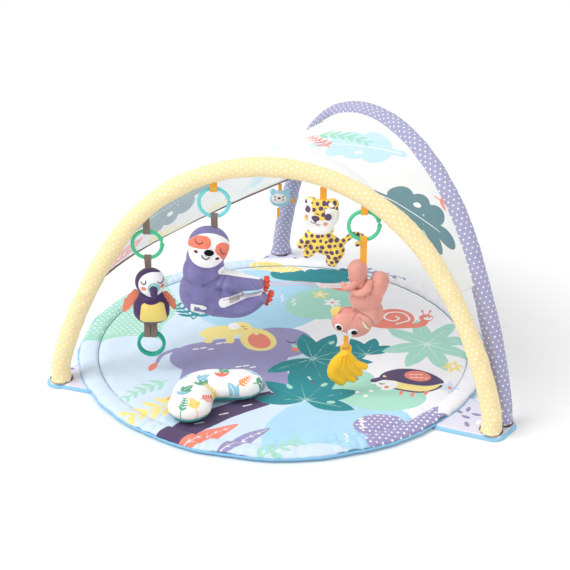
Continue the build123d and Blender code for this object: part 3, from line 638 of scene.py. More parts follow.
def matPicture(p):
    # a sleepy elephant among leaves: animals, fans and ferns in flat colours
    art = Print(p, mat["colours"])
    draw, put = art.draw, art.put
    u, v = p[..., 0], p[..., 1]
    draw("sky", (u + 0.32 * v - 70 + 34 * np.sin(v / 62.0)) * 0.9)
    shore = u + 246 + 16 * np.sin(v / 37.0)
    draw("mint", np.maximum(shore, (28 + 14 * np.sin(u / 29.0)) - v))
    art.dots("white", np.maximum(shore, 40 - v), 12.5, 2.3)
    put("pond", disc, (-52, 205), 152)
    draw("pond", np.maximum(disc(p, (118, -372), 158), -disc(p, (60, -520), 130)))
    art.several(
        ("mint", oval, (92, 190), 88, 74, 20),
        ("mint", oval, (150, 132), 70, 42, -25),
        ("mint", oval, (196, -205), 92, 62, -12),
        ("mint", oval, (118, -150), 70, 50, 10),
        ("teal", oval, (66, 318), 92, 24, -6),
        ("teal", oval, (112, 342), 60, 26, 4),
    )
    for k in range(7):
        put("teal", leaf, (-10 + 26 * k, 322), (-22 + 28 * k, 366 - 4 * abs(k - 3)), 26)
    put("yellow", oval, (-18, 372), 62, 22, -10)
    art.dots("white", oval(p, (-18, 372), 62, 22, -10), 15, 3.0)
    for k in range(3):
        put(
            "coral",
            stroke,
            [(-60, 292 - 9 * k), (20, 299 - 9 * k), (110, 288 - 9 * k), (170, 300 - 9 * k)],
            1.3,
        )
    put("coral", leaf, (108, 262), (206, 246), 18)
    # branch under the elephant
    put("plum", stroke, [(-268, -420), (-150, -300), (-20, -214), (96, -150)], 30, 20)
    for k in range(5):
        at = (-170 + 46 * k, -318 + 34 * k)
        put("white", bar, at, (at[0] + 17, at[1] + 7), 1.6)
    # elephant: body, legs, tail, head, ear and trunk
    art.several(
        ("lilac", bar, (-176, -100), (-184, -168), 30, 27),
        ("lilac", bar, (-64, -112), (-62, -176), 29, 26),
        ("lilac", oval, (-112, -52), 124, 78, 4),
        ("lilac", stroke, [(-222, -20), (-252, -44), (-262, -82)], 6, 3.5),
        ("coral", leaf, (-262, -76), (-274, -112), 17),
        ("lilac", bar, (-112, -104), (-116, -182), 29, 25),
        ("lilac", bar, (-18, -98), (-10, -170), 27, 24),
        ("lilac", oval, (-8, 12), 74, 66, -12),
        ("lilac", stroke, [(38, -8), (78, -34), (92, -78), (78, -112), (98, -132)], 24, 9),
        ("yellow", oval, (-52, 22), 38, 50, 14),
        ("coral", oval, (-50, 18), 24, 34, 14),
        ("coral", disc, (28, -20), 10),
        ("ink", stroke, [(8, 18), (16, 10), (26, 10), (34, 18)], 1.9),
    )
    for k, (x, y) in enumerate(((34, 22), (37, 16), (30, 26))):
        put("ink", bar, (x - 1, y - 2), (x + 6, y + 3), 1.3)
    put("ink", stroke, [(42, -30), (50, -38), (60, -38)], 1.6)
    for x, y in (
        (-188, -20),
        (-172, -14),
        (-156, -20),
        (-140, 4),
        (-124, 8),
        (-96, -96),
        (-80, -92),
        (-66, -98),
    ):
        put("white", bar, (x, y), (x + 9, y + 3), 2.4)
    for x, y in (
        (-200, -190), (-186, -194), (-128, -205), (-112, -207), (-72, -198), (-20, -192), (-4, -192)
    ):
        put("white", disc, (x, y), 4.4)
    # calf of the same kind on the back, in yellow
    art.several(
        ("yellow", oval, (-132, 56), 46, 28, 8),
        ("yellow", disc, (-92, 78), 25),
        ("yellow", stroke, [(-74, 74), (-58, 62), (-56, 46)], 8, 4),
        ("white", oval, (-106, 82), 12, 16, 10),
        ("coral", disc, (-80, 70), 4.5),
        ("ink", stroke, [(-90, 84), (-85, 81), (-80, 84)], 1.3),
        ("yellow", bar, (-154, 40), (-158, 18), 9),
        ("yellow", bar, (-112, 36), (-112, 14), 9),
    )
    # big fans of teal leaves with holes
    art.fan("teal", (62, -60), 128, -150, 250, 8, 44, "mint")
    art.fan("teal", (46, -228), 118, -20, 196, 6, 44, "mint")
    art.fan("teal", (176, -40), 74, 200, -170, 5, 32, "mint")
    for x, y, angle in (
        (104, 8, 60), (128, -64, 10), (24, -6, 110), (14, -172, 120), (84, -168, 50), (96, -236, 5)
    ):
        put("mint", oval, (x, y), 9, 5, angle)
    # mint palm, snail, beetle and flowers on the pale side
    art.fan("mint", (306, 4), 122, -160, 300, 8, 38, "white")
    art.several(
        ("coral", stroke, [(190, 96), (220, 84), (262, 84), (298, 92), (312, 116)], 13, 9),
        ("coral", disc, (246, 122), 42),
        (
            "white",
            stroke,
            [
                (246, 92),
                (276, 112),
                (264, 146),
                (232, 144),
                (222, 120),
                (240, 106),
                (254, 118),
                (247, 128),
            ],
            1.9,
        ),
        ("coral", disc, (314, 124), 16),
        ("white", oval, (318, 122), 10, 8),
        ("ink", disc, (320, 126), 2.4),
        ("ink", disc, (312, 128), 2.0),
    )
    for side in (-1, 1):
        put("coral", bar, (314 + 3 * side, 134), (316 + 9 * side, 154), 1.6)
        put("coral", disc, (316 + 9 * side, 155), 3.4)
    put("plum", oval, (262, -150), 66, 46, -14)
    draw("yellow", np.maximum(oval(p, (262, -150), 60, 40, -14), -(oval(p, (272, -128), 66, 40, -14))))
    put("coral", oval, (276, -132), 27, 20, -10)
    for k in range(7):
        put(
            "white",
            bar,
            (260 + 10 * (k % 4), -140 + 12 * (k // 4)),
            (266 + 10 * (k % 4), -138 + 12 * (k // 4)),
            1.2,
        )
    art.several(
        ("white", oval, (206, -166), 27, 22, 10),
        ("plum", stroke, [(186, -150), (204, -142), (226, -146)], 8, 5),
    )
    draw("mint", np.maximum(oval(p, (184, -176), 17, 12, -30), -disc(p, (206, -164), 17)))
    art.several(
        ("coral", disc, (210, -176), 5),
        ("ink", stroke, [(196, -160), (200, -165), (206, -163)], 1.5),
    )
    for x, y in ((240, -194), (262, -200), (290, -192)):
        put("coral", bar, (x, y), (x - 4, y - 12), 3.6)
    art.flower("yellow", "white", (352, -92), 24, 6, 10)
    art.flower("sky", "coral", (338, -176), 23, 6, 25)
    art.flower("yellow", "white", (84, 232), 22, 5, 15)
    art.flower("white", "coral", (110, 196), 22, 6, 30)
    art.flower("yellow", "coral", (392, 60), 17, 6, 0)
    for x, y in ((150, -196), (166, -210), (178, -192)):
        put("white", disc, (x, y), 4.6)
    # leaves near the front
    art.plume("coral", (-212, -402), (-84, -318), 38, "white")
    art.plume("lilac", (-134, -424), (-22, -330), 30, "white")
    art.fern("mint", (-60, -436), 24, 112, 5, 36, 10)
    art.fern("yellow", (-196, -238), 196, 142, 5, 52, 16)
    art.fern("mint", (-232, -150), 212, 104, 5, 34, 8)
    bush = np.minimum(oval(p, (232, -352), 78, 44, 24), oval(p, (188, -318), 52, 36, 10))
    for k in range(5):
        bush = np.minimum(bush, leaf(p, (250, -330), polar((262, -326), 86, -38 + 24 * k), 34))
    draw("lilac", bush)
    art.dots("white", bush, 12.0, 2.5)
    art.fern("lilac", (168, 354), -20, 120, 5, 30)
    for x, y in ((150, -300), (118, -352), (-6, 236), (20, 214)):
        put(
            "white",
            stroke,
            [(x, y), (x + 7, y - 8), (x + 1, y - 17), (x + 8, y - 26), (x + 2, y - 34)],
            1.7,
        )
    art.fern("teal", (-196, 118), 60, 92, 4, 40, 20)
    art.fern("teal", (-196, 118), 112, 74, 4, 34, 10)
    return art


def rimWave(turn):
    # how far the rim strays from a circle, in mm: it is gathered into short, nearly straight runs
    x, y = np.cos(turn) * 430, np.sin(turn) * 430
    return 2.2 * ripple(x, y, 150.0, 3) + 0.8 * ripple(x, y, 42.0, 4) - 0.8


def gathered(reach):
    # share of the rim's straying at a distance from the middle
    return np.clip((reach - mat["gatherFrom"]) / 24.0, 0, 1)


def matHeights(reach, turn, px, py):
    # flat panel, slope to the sewn ring, puffed border, tucks on both sides of the ring
    ring, low = mat["panel"], mat["grooveHeight"]
    slope = np.clip((ring - reach) / 26.0, 0, 1)
    panel = low + (mat["panelHeight"] - low) * np.sin(slope * np.pi / 2) ** 0.8
    across = np.clip((reach - ring) / (mat["radius"] - ring), 0, 1)
    base = low + (mat["seamHeight"] - low) * across
    swell = (1 - np.abs(2 * across - 0.94) ** 2.4).clip(0, 1) ** 0.6
    border = base + (mat["borderHeight"] - base.mean() + 1.0) * 0.98 * swell * (1 - 0.12 * across)
    cx, cy = np.cos(turn) * 400, np.sin(turn) * 400
    sway = turn * 41 + 3.2 * ripple(cx, cy, 190.0, 5) + 0.35 * np.sin(across * 3.0)
    tuck = 0.55 * ripple(cx, cy, 24.0, 11) + 0.9 - 1.9 * (1 - np.abs(np.sin(sway))) ** 2.2
    nearSeams = 0.3 + 0.7 * np.abs(2 * across - 0.9) ** 1.3
    border = border + mat["puckers"] * tuck * nearSeams * np.sin(np.pi * np.clip(across, 0.02, 0.98)) ** 0.5
    panel = panel + 1.3 * ripple(px, py, 130.0, 21) * np.clip(slope * 1.2, 0, 1)
    panel = panel + 1.1 * tuck * np.exp(-(((ring - 12 - reach) / 12.0) ** 2))
    outwards = np.clip((reach - 150) / 220, 0, 1) * np.clip(slope * 2, 0, 1)
    panel = panel + 0.8 * ripple(px, py * 0.5, 46.0, 22) * outwards
    return np.minimum(np.where(reach < ring, np.minimum(panel, 17.2), border), mat["topmost"])


def makeMat():
    # the cover: heights over a disc, closed below by a smaller flat disc
    x, y = discGrid(mat["cells"])
    turn = np.arctan2(y, x)
    reach = mat["radius"] * np.hypot(x, y)
    reach = reach + rimWave(turn) * gathered(reach)
    px, py = reach * np.cos(turn), reach * np.sin(turn)
    flat = np.stack([px, py, matHeights(reach, turn, px, py)], -1).reshape(-1, 3)
    n = mat["cells"]
    rim = borderOf(n, n)
    floor = mat["seamHeight"] - 1.4
    bottom = flat[rim] * np.array([0.985, 0.985, 0.0]) + np.array([0, 0, floor])
    first = len(flat)
    faces = gridFaces(n, n)
    ring = np.arange(len(rim))
    after = np.roll(ring, -1)
    faces += np.stack([rim[ring], first + ring, first + after, rim[after]], -1).tolist()
    flat = np.vstack([flat, bottom, [[0, 0, floor]]])
    faces += np.stack([first + ring, np.full(len(rim), len(flat) - 1), first + after], -1).tolist()
    mesh = meshFrom("mat_cover", flat, faces)
    matPicture(slanted(flat)).paintOn(mesh)
    # painted line at the sewn ring: its stitching, darkened further as painted shade of the seam's groove
    paint(mesh, "stitchAndShadeRing", np.abs(np.hypot(flat[:, 0], flat[:, 1]) - mat["panel"]) - 0.9)
    layers = [*mat["colours"].items(), ("stitchAndShadeRing", mat["stitchesAndShade"])]
    cloth = clothFinish("printedCotton", mat["ground"], layers, weave=0.7, bumps=0.3, edge=0.7)
    cover = addPiece(
        "mat_cover", mesh, "mat", cloth, ["mat_top", "mat_filling"], outward=True
    )


def makeBacking():
    # the blue backing rolls up round the rim: a profile of radius and height turned round the axis
    rows = 420
    a = np.linspace(0, 2 * np.pi, rows, endpoint=False)
    upper = [[200, 7.5], [405, 7.6], [424, 8.4], [428.6, 9.9], [430.6, 8.8]]
    lower = [[430.9, 7.0], [429.6, 4.4], [426, 2.0], [420, 0.5], [412, 0.05], [400, 0], [200, 0]]
    profile = np.array(upper + lower)
    out = profile[None, :, 0] + gathered(profile[:, 0])[None] * rimWave(a)[:, None]
    high = profile[None, :, 1] + 0 * out
    points = np.stack([out * np.cos(a)[:, None], out * np.sin(a)[:, None], high], -1)
    columns = points.shape[1]
    faces = gridFaces(rows, columns, wrapRows=True)
    flat = np.vstack([points.reshape(-1, 3), [[0, 0, 7.4], [0, 0, 0]]])
    start = np.arange(rows) * columns
    after = np.roll(start, -1)
    faces += np.stack([start, after, np.full(rows, rows * columns)], -1).tolist()
    last = columns - 1
    faces += np.stack([after + last, start + last, np.full(rows, rows * columns + 1)], -1).tolist()
    plain = clothFinish("blueBacking", mat["backing"], weave=0.7, bumps=0.3)
    mesh = meshFrom("mat_underside", flat, faces)
    backing = addPiece(
        "mat_underside", mesh, "mat", plain, ["mat_backing"], outward=True
    )


makeMat()
makeBacking()
print("mat made")


arch = {
    "rise": 452.0,
    "legLean": 13.7,
    "shoulderLean": 34.5,
    "elbow": 42.0,
    "front": {"left": (-285.0, -374.0), "right": (520.0, -20.0), "tilt": 8.7, "inward": 1, "seed": 41},
    "rear": {"left": (-285.0, 374.0), "right": (520.0, 20.0), "tilt": 0.8, "inward": -1, "seed": 61},
    "sleeve": 18.0,
    "hem": 10.5,
    "flare": 5.0,
    "snug": 17.0,  # radius by the links, so that they swing clear
    "sides": 42,
    "pitch": 11.31,
    "row": 9.6,
    "dot": 1.75,
    "yellow": tone(255, 233, 176),
    "lavender": tone(170, 169, 203),
    "dotWhite": tone(253, 253, 252),
}


def archLine(name, share):
    # three tangent arcs in a leaning plane: leg, crown, leg; share runs from the left elbow to the right
    foot = arch[name]
    left, right = np.array([*foot["left"], arch["elbow"]]), np.array([*foot["right"], arch["elbow"]])
    along = right - left
    half = np.linalg.norm(along) / 2
    along = along / (2 * half)
    inward = np.array([-along[1], along[0], 0.0]) * foot["inward"]
    tilt = math.radians(foot["tilt"])
    rise = np.array([0, 0, math.cos(tilt)]) + inward * math.sin(tilt)
    lean, turn = math.radians(arch["legLean"]), math.radians(arch["shoulderLean"])
    a, b = math.cos(lean) - math.cos(turn), math.cos(turn)
    c, d = math.sin(turn) - math.sin(lean), 1 - math.sin(turn)
    det = a * d - b * c
    legRadius = (half * d - b * arch["rise"]) / det
    crownRadius = (a * arch["rise"] - c * half) / det
    legLength, crownLength = legRadius * (turn - lean), crownRadius * (math.pi - 2 * turn)
    length = 2 * legLength + crownLength
    share = np.asarray(share, float)
    run = np.minimum(share, 1 - share) * length
    legAngle = lean + np.minimum(run, legLength) / legRadius
    crownAngle = turn + np.maximum(run - legLength, 0) / crownRadius
    x = legRadius * (math.cos(lean) - np.cos(legAngle)) + crownRadius * (
        math.cos(turn) - np.cos(crownAngle)
    )
    x = x - half
    y = legRadius * (np.sin(legAngle) - math.sin(lean)) + crownRadius * (
        np.sin(crownAngle) - math.sin(turn)
    )
    x = np.where(share < 0.5, x, -x)
    points = (left + right) / 2 + x[..., None] * along + y[..., None] * rise
    return points, length, np.cross(along, rise)


def makeSleeve(name, pinches):
    # a tube along the arch that falls upright below the elbows
    # its surface ripples everywhere and gathers at the pinches
    _, length, plane = archLine(name, 0.5)
    shares = np.linspace(0, 1, 421)
    line = archLine(name, shares)[0]
    drop = np.linspace(arch["hem"] - arch["elbow"], 0, 12)[:-1]
    down = np.stack([0 * drop, 0 * drop, drop], -1)
    path = np.vstack([line[0] + down, line, (line[-1] + down)[::-1]])
    for _ in range(6):
        path[1:-1] = (path[:-2] + 2 * path[1:-1] + path[2:]) / 4
    run = np.concatenate([[0], np.cumsum(np.linalg.norm(np.diff(path, axis=0), axis=1))])
    turn = np.linspace(0, 2 * np.pi, arch["sides"], endpoint=False)
    s, t = np.meshgrid(run, turn, indexing="ij")
    aroundX, aroundY = np.cos(t) * arch["sleeve"], np.sin(t) * arch["sleeve"]
    seed = arch[name]["seed"]
    radius = arch["sleeve"] + 0.55 * ripple(s * 0.55 + aroundX, aroundY * 1.4, 30.0, seed)
    radius += 0.3 * ripple(s + aroundX, aroundY, 12.0, seed + 1)
    whole = run[-1]
    ends = np.exp(-s / 26.0) + np.exp(-(whole - s) / 26.0)
    radius += ends * (0.9 + 1.0 * np.sin(7 * t + 2.0 * np.sin(3 * t)))
    for share, amount in pinches:
        away = s - (29.0 + share * length)
        below = np.clip(np.cos(t + np.pi / 2), 0, 1)
        radius -= amount * np.exp(-((away / 7.0) ** 2)) * below**2
        radius += 0.45 * amount * np.cos(away / 3.2) * np.exp(-((away / 20.0) ** 2)) * below
        radius -= np.clip(radius - arch["snug"], 0, None) * np.clip(3.2 - np.abs(away) / 20.0, 0, 1)
    hemFlare = np.exp(-s / 9.0) + np.exp(-(whole - s) / 9.0)
    radius += arch["flare"] * hemFlare * np.abs(np.sin(t)) ** 1.5
    profile = np.stack([radius * np.cos(t), radius * np.sin(t)], -1)
    points = sweep(path, profile, plane)
    rows, columns = points.shape[:2]
    faces = gridFaces(rows, columns, wrapColumns=True)
    i, j = np.arange(rows - 1)[:, None], np.arange(columns)[None, :]
    around = arch["sleeve"] * 2 * np.pi / columns
    corners = ((0, 0), (1, 0), (1, 1), (0, 1))
    uv = np.stack(
        [np.stack([run[i + di] + 0 * j, (j + dj) * around + 0 * i], -1) for di, dj in corners], -2
    )
    mesh = meshFrom(f"{name}_sleeve_cloth", points.reshape(-1, 3), faces, uv=uv)
    colour = arch["yellow"] if name == "front" else arch["lavender"]
    dots = {"row": arch["row"], "pitch": arch["pitch"], "radius": arch["dot"], "colour": arch["dotWhite"]}
    cloth = clothFinish(f"{name}DottedKnit", colour, dots=dots, weave=0.6, bumps=0.35, shade=0.04)
    piece = addPiece(f"{name}_sleeve_cloth", mesh, "arches", cloth, [f"{name}_sleeve"])
    wall = piece.modifiers.new("wall", "SOLIDIFY")
    wall.thickness = 0.0012
    wall.offset = -1.0


makeSleeve("front", [(0.2888, 1.6), (0.4057, 2.0), (0.5658, 2.2), (0.6287, 1.8), (0.86, 0.8)])
makeSleeve("rear", [(0.15, 1.2), (0.42, 1.6), (0.47, 1.4), (0.82, 1.0)])
print("sleeves made")


canopy = {
    "frontShares": (0.125, 0.815),
    "rearShares": (0.150, 0.820),
    "seam": 17.2,
    "sag": 14.0,
    "lift": 36.0,
    "fade": 0.12,
    "thick": 1.0,
    "rows": 260,
    "columns": 190,
    "ground": tone(238, 239, 236),
    "tape": tone(132, 114, 104),
    "colours": {
        "slate": tone(112, 145, 152),
        "paleBlue": tone(196, 226, 240),
        "mint": tone(160, 218, 192),
        "coral": tone(240, 150, 140),
        "yellow": tone(250, 230, 150),
        "white": tone(252, 252, 252),
    },
    "lobes": (  # share of a leaf's length, side, size
        (0.28, 1, 0.24),
        (0.28, -1, 0.24),
        (0.5, 1, 0.25),
        (0.52, -1, 0.24),
        (0.74, 1, 0.2),
        (0.74, -1, 0.2),
        (0.92, 0, 0.17),
    ),
    "leaves": (  # colour, root, direction, length
        ("slate", (560, -70), 38, 150),
        ("paleBlue", (500, 90), -150, 150),
        ("slate", (250, 190), 160, 150),
        ("slate", (128, -262), 72, 175),
        ("paleBlue", (330, -150), 190, 130),
        ("paleBlue", (70, 120), 60, 120),
    ),
    "ferns": (  # colour, root, direction, length, pairs, leaflet, bend
        ("mint", (690, -60), 188, 120, 6, 40, 12),
        ("yellow", (58, -205), 84, 140, 7, 34, 8),
        ("mint", (330, 60), 20, 110, 6, 34, -14),
        ("paleBlue", (250, -40), 80, 120, 7, 36, 16),
        ("yellow", (60, -20), 80, 100, 6, 30, 10),
        ("mint", (120, 250), -20, 120, 7, 32, 10),
    ),
    "sprigs": (("coral", (400, 10), 150, 80, 5, 24, 0), ("coral", (600, 60), 30, 80, 5, 24, 0)),
    "flatSize": (0.80, 0.72),
}


def sideways(name, share, target):
    # unit vectors square to the arch, pointing at the other side
    step = 1e-3
    line = archLine(name, share)[0]
    forward = unit(archLine(name, share + step)[0] - archLine(name, share - step)[0])
    towards = target - line
    return line, unit(towards - forward * (towards * forward).sum(-1, keepdims=True))


def canopyPoints(along, across):
    # straight lines between the arches, sagging in the middle and lifted at the free edge
    low, high = canopy["frontShares"]
    frontShare = low + along * (high - low)
    low, high = canopy["rearShares"]
    rearShare = low + along * (high - low)
    a, b = archLine("front", frontShare)[0], archLine("rear", rearShare)[0]
    a, fromFront = sideways("front", frontShare, b)
    b, fromRear = sideways("rear", rearShare, a)
    first, second = a + fromFront * canopy["seam"], b + fromRear * canopy["seam"]
    width = np.linalg.norm(b - a, axis=-1)
    point = first + (second - first) * across[..., None]
    fade = np.clip(1 - along / canopy["fade"], 0, None) ** 2
    lift = canopy["lift"] * fade * np.sin(np.pi * np.clip(across, 0, 1) ** 0.6)
    sag = canopy["sag"] * (1 - fade) * np.sin(np.pi * across) * np.minimum(1.0, width / 300)
    point[..., 2] += lift - sag
    return point, width


def lobedLeaf(art, name, root, angle, length):
    # a broad leaf of round lobes with a pale midrib and one hole
    for share, side, size in canopy["lobes"]:
        at = polar(polar(root, share * length, angle), side * 0.2 * length, angle + 90)
        art.put(name, oval, at, size * length, 0.125 * length, angle + side * 58)
    hole = polar(polar(root, 0.5 * length, angle), 0.19 * length, angle + 90)
    art.several(
        (name, bar, root, polar(root, 0.8 * length, angle), 0.07 * length),
        ("white", bar, root, polar(root, 0.82 * length, angle), 1.5, 0.8),
        ("white", oval, hole, 0.06 * length, 0.035 * length, angle + 40),
    )


def canopyPicture(p):
    # scattered leaves and ferns, pale and dark
    art = Print(p, canopy["colours"])
    for leafShape in canopy["leaves"]:
        lobedLeaf(art, *leafShape)
    for fernShape in canopy["ferns"]:
        art.fern(*fernShape)
    art.plume("coral", (22, -318), (84, -222), 44, "white")
    art.plume("coral", (60, 220), (150, 200), 26, "white")
    for fernShape in canopy["sprigs"]:
        art.fern(*fernShape)
    return art


def makeCanopy():
    # a sheet stretched between the sleeves, with folds, a print and a taped edge
    rows, columns = canopy["rows"], canopy["columns"]
    along, across = np.meshgrid(np.linspace(0, 1, rows), np.linspace(0, 1, columns), indexing="ij")
    middle, width = canopyPoints(along, across)
    a, c = along * 760.0, (across - 0.5) * width
    free = np.sin(np.pi * np.clip(across, 0, 1)) ** 0.7
    # soft folds: one long one towards the narrow end, small ones out of the sleeve seams
    inside = np.clip(a / 60.0, 0, 1)
    folds = 2.2 * ripple(a * 0.35, c * 0.9, 130.0, 81) * free * inside
    long = 5.0 * fall(c + 0.28 * (a - 330), 17.0)
    long = long * np.clip(a / 160 - 0.6, 0, 1) * np.clip((690 - a) / 200, 0, 1)
    nearSeams = np.exp(-across * width / 26.0) + np.exp(-(1 - across) * width / 26.0)
    seamFolds = 1.1 * np.sin(a / 6.5 + 2 * ripple(a, c * 0.1, 90.0, 83)) * nearSeams * free * inside
    fromU, fromV = np.gradient(middle, axis=0), np.gradient(middle, axis=1)
    normal = unit(np.cross(fromU, fromV))
    normal *= np.where(normal[..., 2:] < 0, -1.0, 1.0)
    middle = middle + normal * (folds - long + seamFolds)[..., None]
    half = canopy["thick"] / 2
    mesh = layered("canopy_sheet", middle + normal * half, middle - normal * half)
    # both faces carry the same print; the second half of the points is the underside
    p = np.stack([a, c], -1).reshape(-1, 2)
    canopyPicture(np.vstack([p, p])).paintOn(mesh)
    paint(mesh, "underside", np.repeat([0.0, 1.0], rows * columns))
    cloth = clothFinish(
        "canopyCotton",
        canopy["ground"],
        canopy["colours"].items(),
        weave=0.6,
        bumps=0.3,
        shade=0.03,
        glow=0.34,
        underside={"mask": "underside", "fade": 0.30, "colour": tone(250, 249, 247)},
    )
    piece = addPiece(
        "canopy_sheet", mesh, "arches", cloth, ["canopy_cloth"], outward=True
    )
    # taupe tape folded over the free edge
    path = middle[0] + unit(middle[2] - middle[0]) * 4.2
    flat = circle(1.0, 14) * np.array([6.2, 1.5])
    tape = tubeMesh("canopy_edge_tape", path, flat, (0, 0, 1))
    ribbon = ribbonFinish("taupeTape", canopy["tape"], rib=0.8)
    tapePiece = addPiece(
        "canopy_edge_tape", tape, "arches", ribbon, ["canopy_binding"], outward=True
    )
    smallest = 0.31 * canopy["flatSize"][0] * canopy["flatSize"][1]
    return ribbon


taupe = makeCanopy()
print("canopy made")


class Toy:
    # a toy's own directions, in mm from the point that it swings on: x right, y up, z to its front
    def __init__(self, joint, body):
        turn = math.radians(36.0)
        self.origin = np.array(joints[joint]["pos_m"]) * 1000.0
        right = (math.cos(turn), math.sin(turn), 0.0)
        front = (math.sin(turn), -math.cos(turn), 0.0)
        self.axes = np.array([right, (0.0, 0.0, 1.0), front])
        self.body = body

    def room(self, points):
        # from the toy's directions to the room
        return self.origin + np.asarray(points, float) @ self.axes

    def own(self, mesh):
        # a mesh's points in the toy's directions
        return (coordinates(mesh) * 1000.0 - self.origin) @ self.axes.T


def ball(centre, radii, turn=0.0, power=2.0, sides=44):
    # closed form: a superellipse outline in x and y, round in depth
    v = np.linspace(0, np.pi, sides // 2 + 1)[1:-1, None]
    u = np.linspace(0, 2 * np.pi, sides, endpoint=False)[None, :]
    x = radii[0] * signedPower(np.cos(u), 2.0 / power) * np.sin(v)
    y = radii[1] * signedPower(np.sin(u), 2.0 / power) * np.sin(v)
    z = radii[2] * np.cos(v) + 0 * u
    c, s = math.cos(math.radians(turn)), math.sin(math.radians(turn))
    points = np.stack([x * c - y * s, x * s + y * c, z], -1) + np.asarray((*centre, 0.0)[:3], float)
    return closeEnds(points)


def limb(points, radii, squash=1.0, sides=28):
    # a stuffed limb: circles along a curve, with round ends
    line = curveThrough([(*point, 0.0)[:3] for point in points], 30)
    r = np.interp(np.linspace(0, 1, 30), np.linspace(0, 1, len(radii)), radii)
    cap = np.linspace(0.12, np.pi / 2, 8)[:-1]
    first, last = unit(line[0] - line[1]), unit(line[-1] - line[-2])
    start = line[0] + first * (r[0] * np.cos(cap))[:, None]
    end = line[-1] + last * (r[-1] * np.cos(cap))[:, None]
    path = np.vstack([start, line, end[::-1]])
    r = np.concatenate([r[0] * np.sin(cap), r, (r[-1] * np.sin(cap))[::-1]])
    ring = circle(1.0, sides)[None] * r[:, None, None] * np.array([1.0, squash])
    return closeEnds(sweep(path, ring, (0, 0, 1)))


def evaluated(piece):
    # a piece with its modifiers becomes a plain mesh
    mesh = bpy.data.meshes.new_from_object(piece.evaluated_get(bpy.context.evaluated_depsgraph_get()))
    name = piece.data.name
    old = piece.data
    bpy.data.objects.remove(piece)
    bpy.data.meshes.remove(old)
    mesh.name = name
    return mesh


def temporary(mesh):
    # a piece for modifiers to work on
    piece = bpy.data.objects.new("working", mesh)
    bpy.context.scene.collection.objects.link(piece)
    return piece


def melt(name, shells, toy, voxel=2.8, smooth=6):
    # closed shells become one skin: voxel remesh, then smoothing
    points, faces = [], []
    for shell, quads in shells:
        faces += [[corner + sum(map(len, points)) for corner in quad] for quad in quads]
        points.append(shell)
    points = np.vstack(points)
    piece = temporary(meshFrom(name, toy.room(points) if toy else points, faces))
    skin = piece.modifiers.new("skin", "REMESH")
    skin.mode = "VOXEL"
    skin.voxel_size = voxel * 0.001
    even = piece.modifiers.new("even", "SMOOTH")
    even.factor = 0.5
    even.iterations = smooth
    return evaluated(piece)


def stuff(mesh, pressure=4.0, cap=4.0):
    # cloth under air pressure for 20 frames; no point moves further than cap
    before = coordinates(mesh)
    piece = temporary(mesh)
    cloth = piece.modifiers.new("cloth", "CLOTH")
    cloth.settings.quality = 5
    cloth.settings.mass = 0.25
    cloth.settings.tension_stiffness = 14.0
    cloth.settings.compression_stiffness = 10.0
    cloth.settings.shear_stiffness = 5.0
    cloth.settings.bending_stiffness = 0.25
    cloth.settings.use_pressure = True
    cloth.settings.uniform_pressure_force = pressure
    cloth.settings.effector_weights.gravity = 0.0
    cloth.collision_settings.use_collision = False
    scene = bpy.context.scene
    for step in range(1, 21):
        scene.frame_set(step)
    swollen = piece.evaluated_get(bpy.context.evaluated_depsgraph_get())
    after = coordinates(swollen.data) if len(swollen.data.vertices) == len(before) else before
    scene.frame_set(1)
    piece.modifiers.clear()
    bpy.data.objects.remove(piece)
    move = after - before
    length = np.linalg.norm(move, axis=1, keepdims=True)
    setCoordinates(mesh, before + move * np.minimum(1.0, cap * 0.001 / np.maximum(length, 1e-9)))
    return mesh


def finer(mesh, levels=1):
    # smooth subdivision
    piece = temporary(mesh)
    divide = piece.modifiers.new("finer", "SUBSURF")
    divide.levels = divide.render_levels = levels
    return evaluated(piece)


def lift(mesh, amount):
    # moves points along their normals by an amount in mm
    setCoordinates(mesh, coordinates(mesh) + normalsOf(mesh) * np.asarray(amount)[:, None] * 0.001)


def paintShadeAndHighlight(mesh):
    # paints shade into creases and highlights onto ridges, for the velour's colour: how far each point lies
    # below or above its smoothed surroundings
    edges = np.empty(len(mesh.edges) * 2, int)
    mesh.edges.foreach_get("vertices", edges)
    a, b = edges.reshape(-1, 2).T
    points = coordinates(mesh) * 1000.0
    count = len(points)
    degree = np.maximum(np.bincount(a, minlength=count) + np.bincount(b, minlength=count), 1)
    smooth = points.copy()
    for _ in range(16):
        total = [np.bincount(a, smooth[b, k], count) + np.bincount(b, smooth[a, k], count) for k in range(3)]
        smooth = 0.5 * smooth + 0.5 * np.stack(total, -1) / degree[:, None]
    depth = ((smooth - points) * normalsOf(mesh)).sum(-1)
    # painted shade where the skin dips, painted highlight where it rises
    paint(mesh, "creases", np.clip(depth / 0.7, 0, 1))
    paint(mesh, "ridges", np.clip(-depth / 1.4 - 0.1, 0, 1))


def raised(distance, height, soft=0.9):
    # the step of a sewn-on patch: height inside, 0 outside
    return height * np.clip(0.5 - distance / soft, 0, 1)


def block(p, centre, halfWidth, halfHeight, corner, taper=0.0, angle=0.0):
    # rounded rectangle whose sides spread towards its lower end
    x, y = turned(p, centre, angle)
    qx, qy = np.abs(x) - (halfWidth - taper * y) + corner, np.abs(y) - halfHeight + corner
    return np.hypot(np.maximum(qx, 0), np.maximum(qy, 0)) + np.minimum(np.maximum(qx, qy), 0) - corner


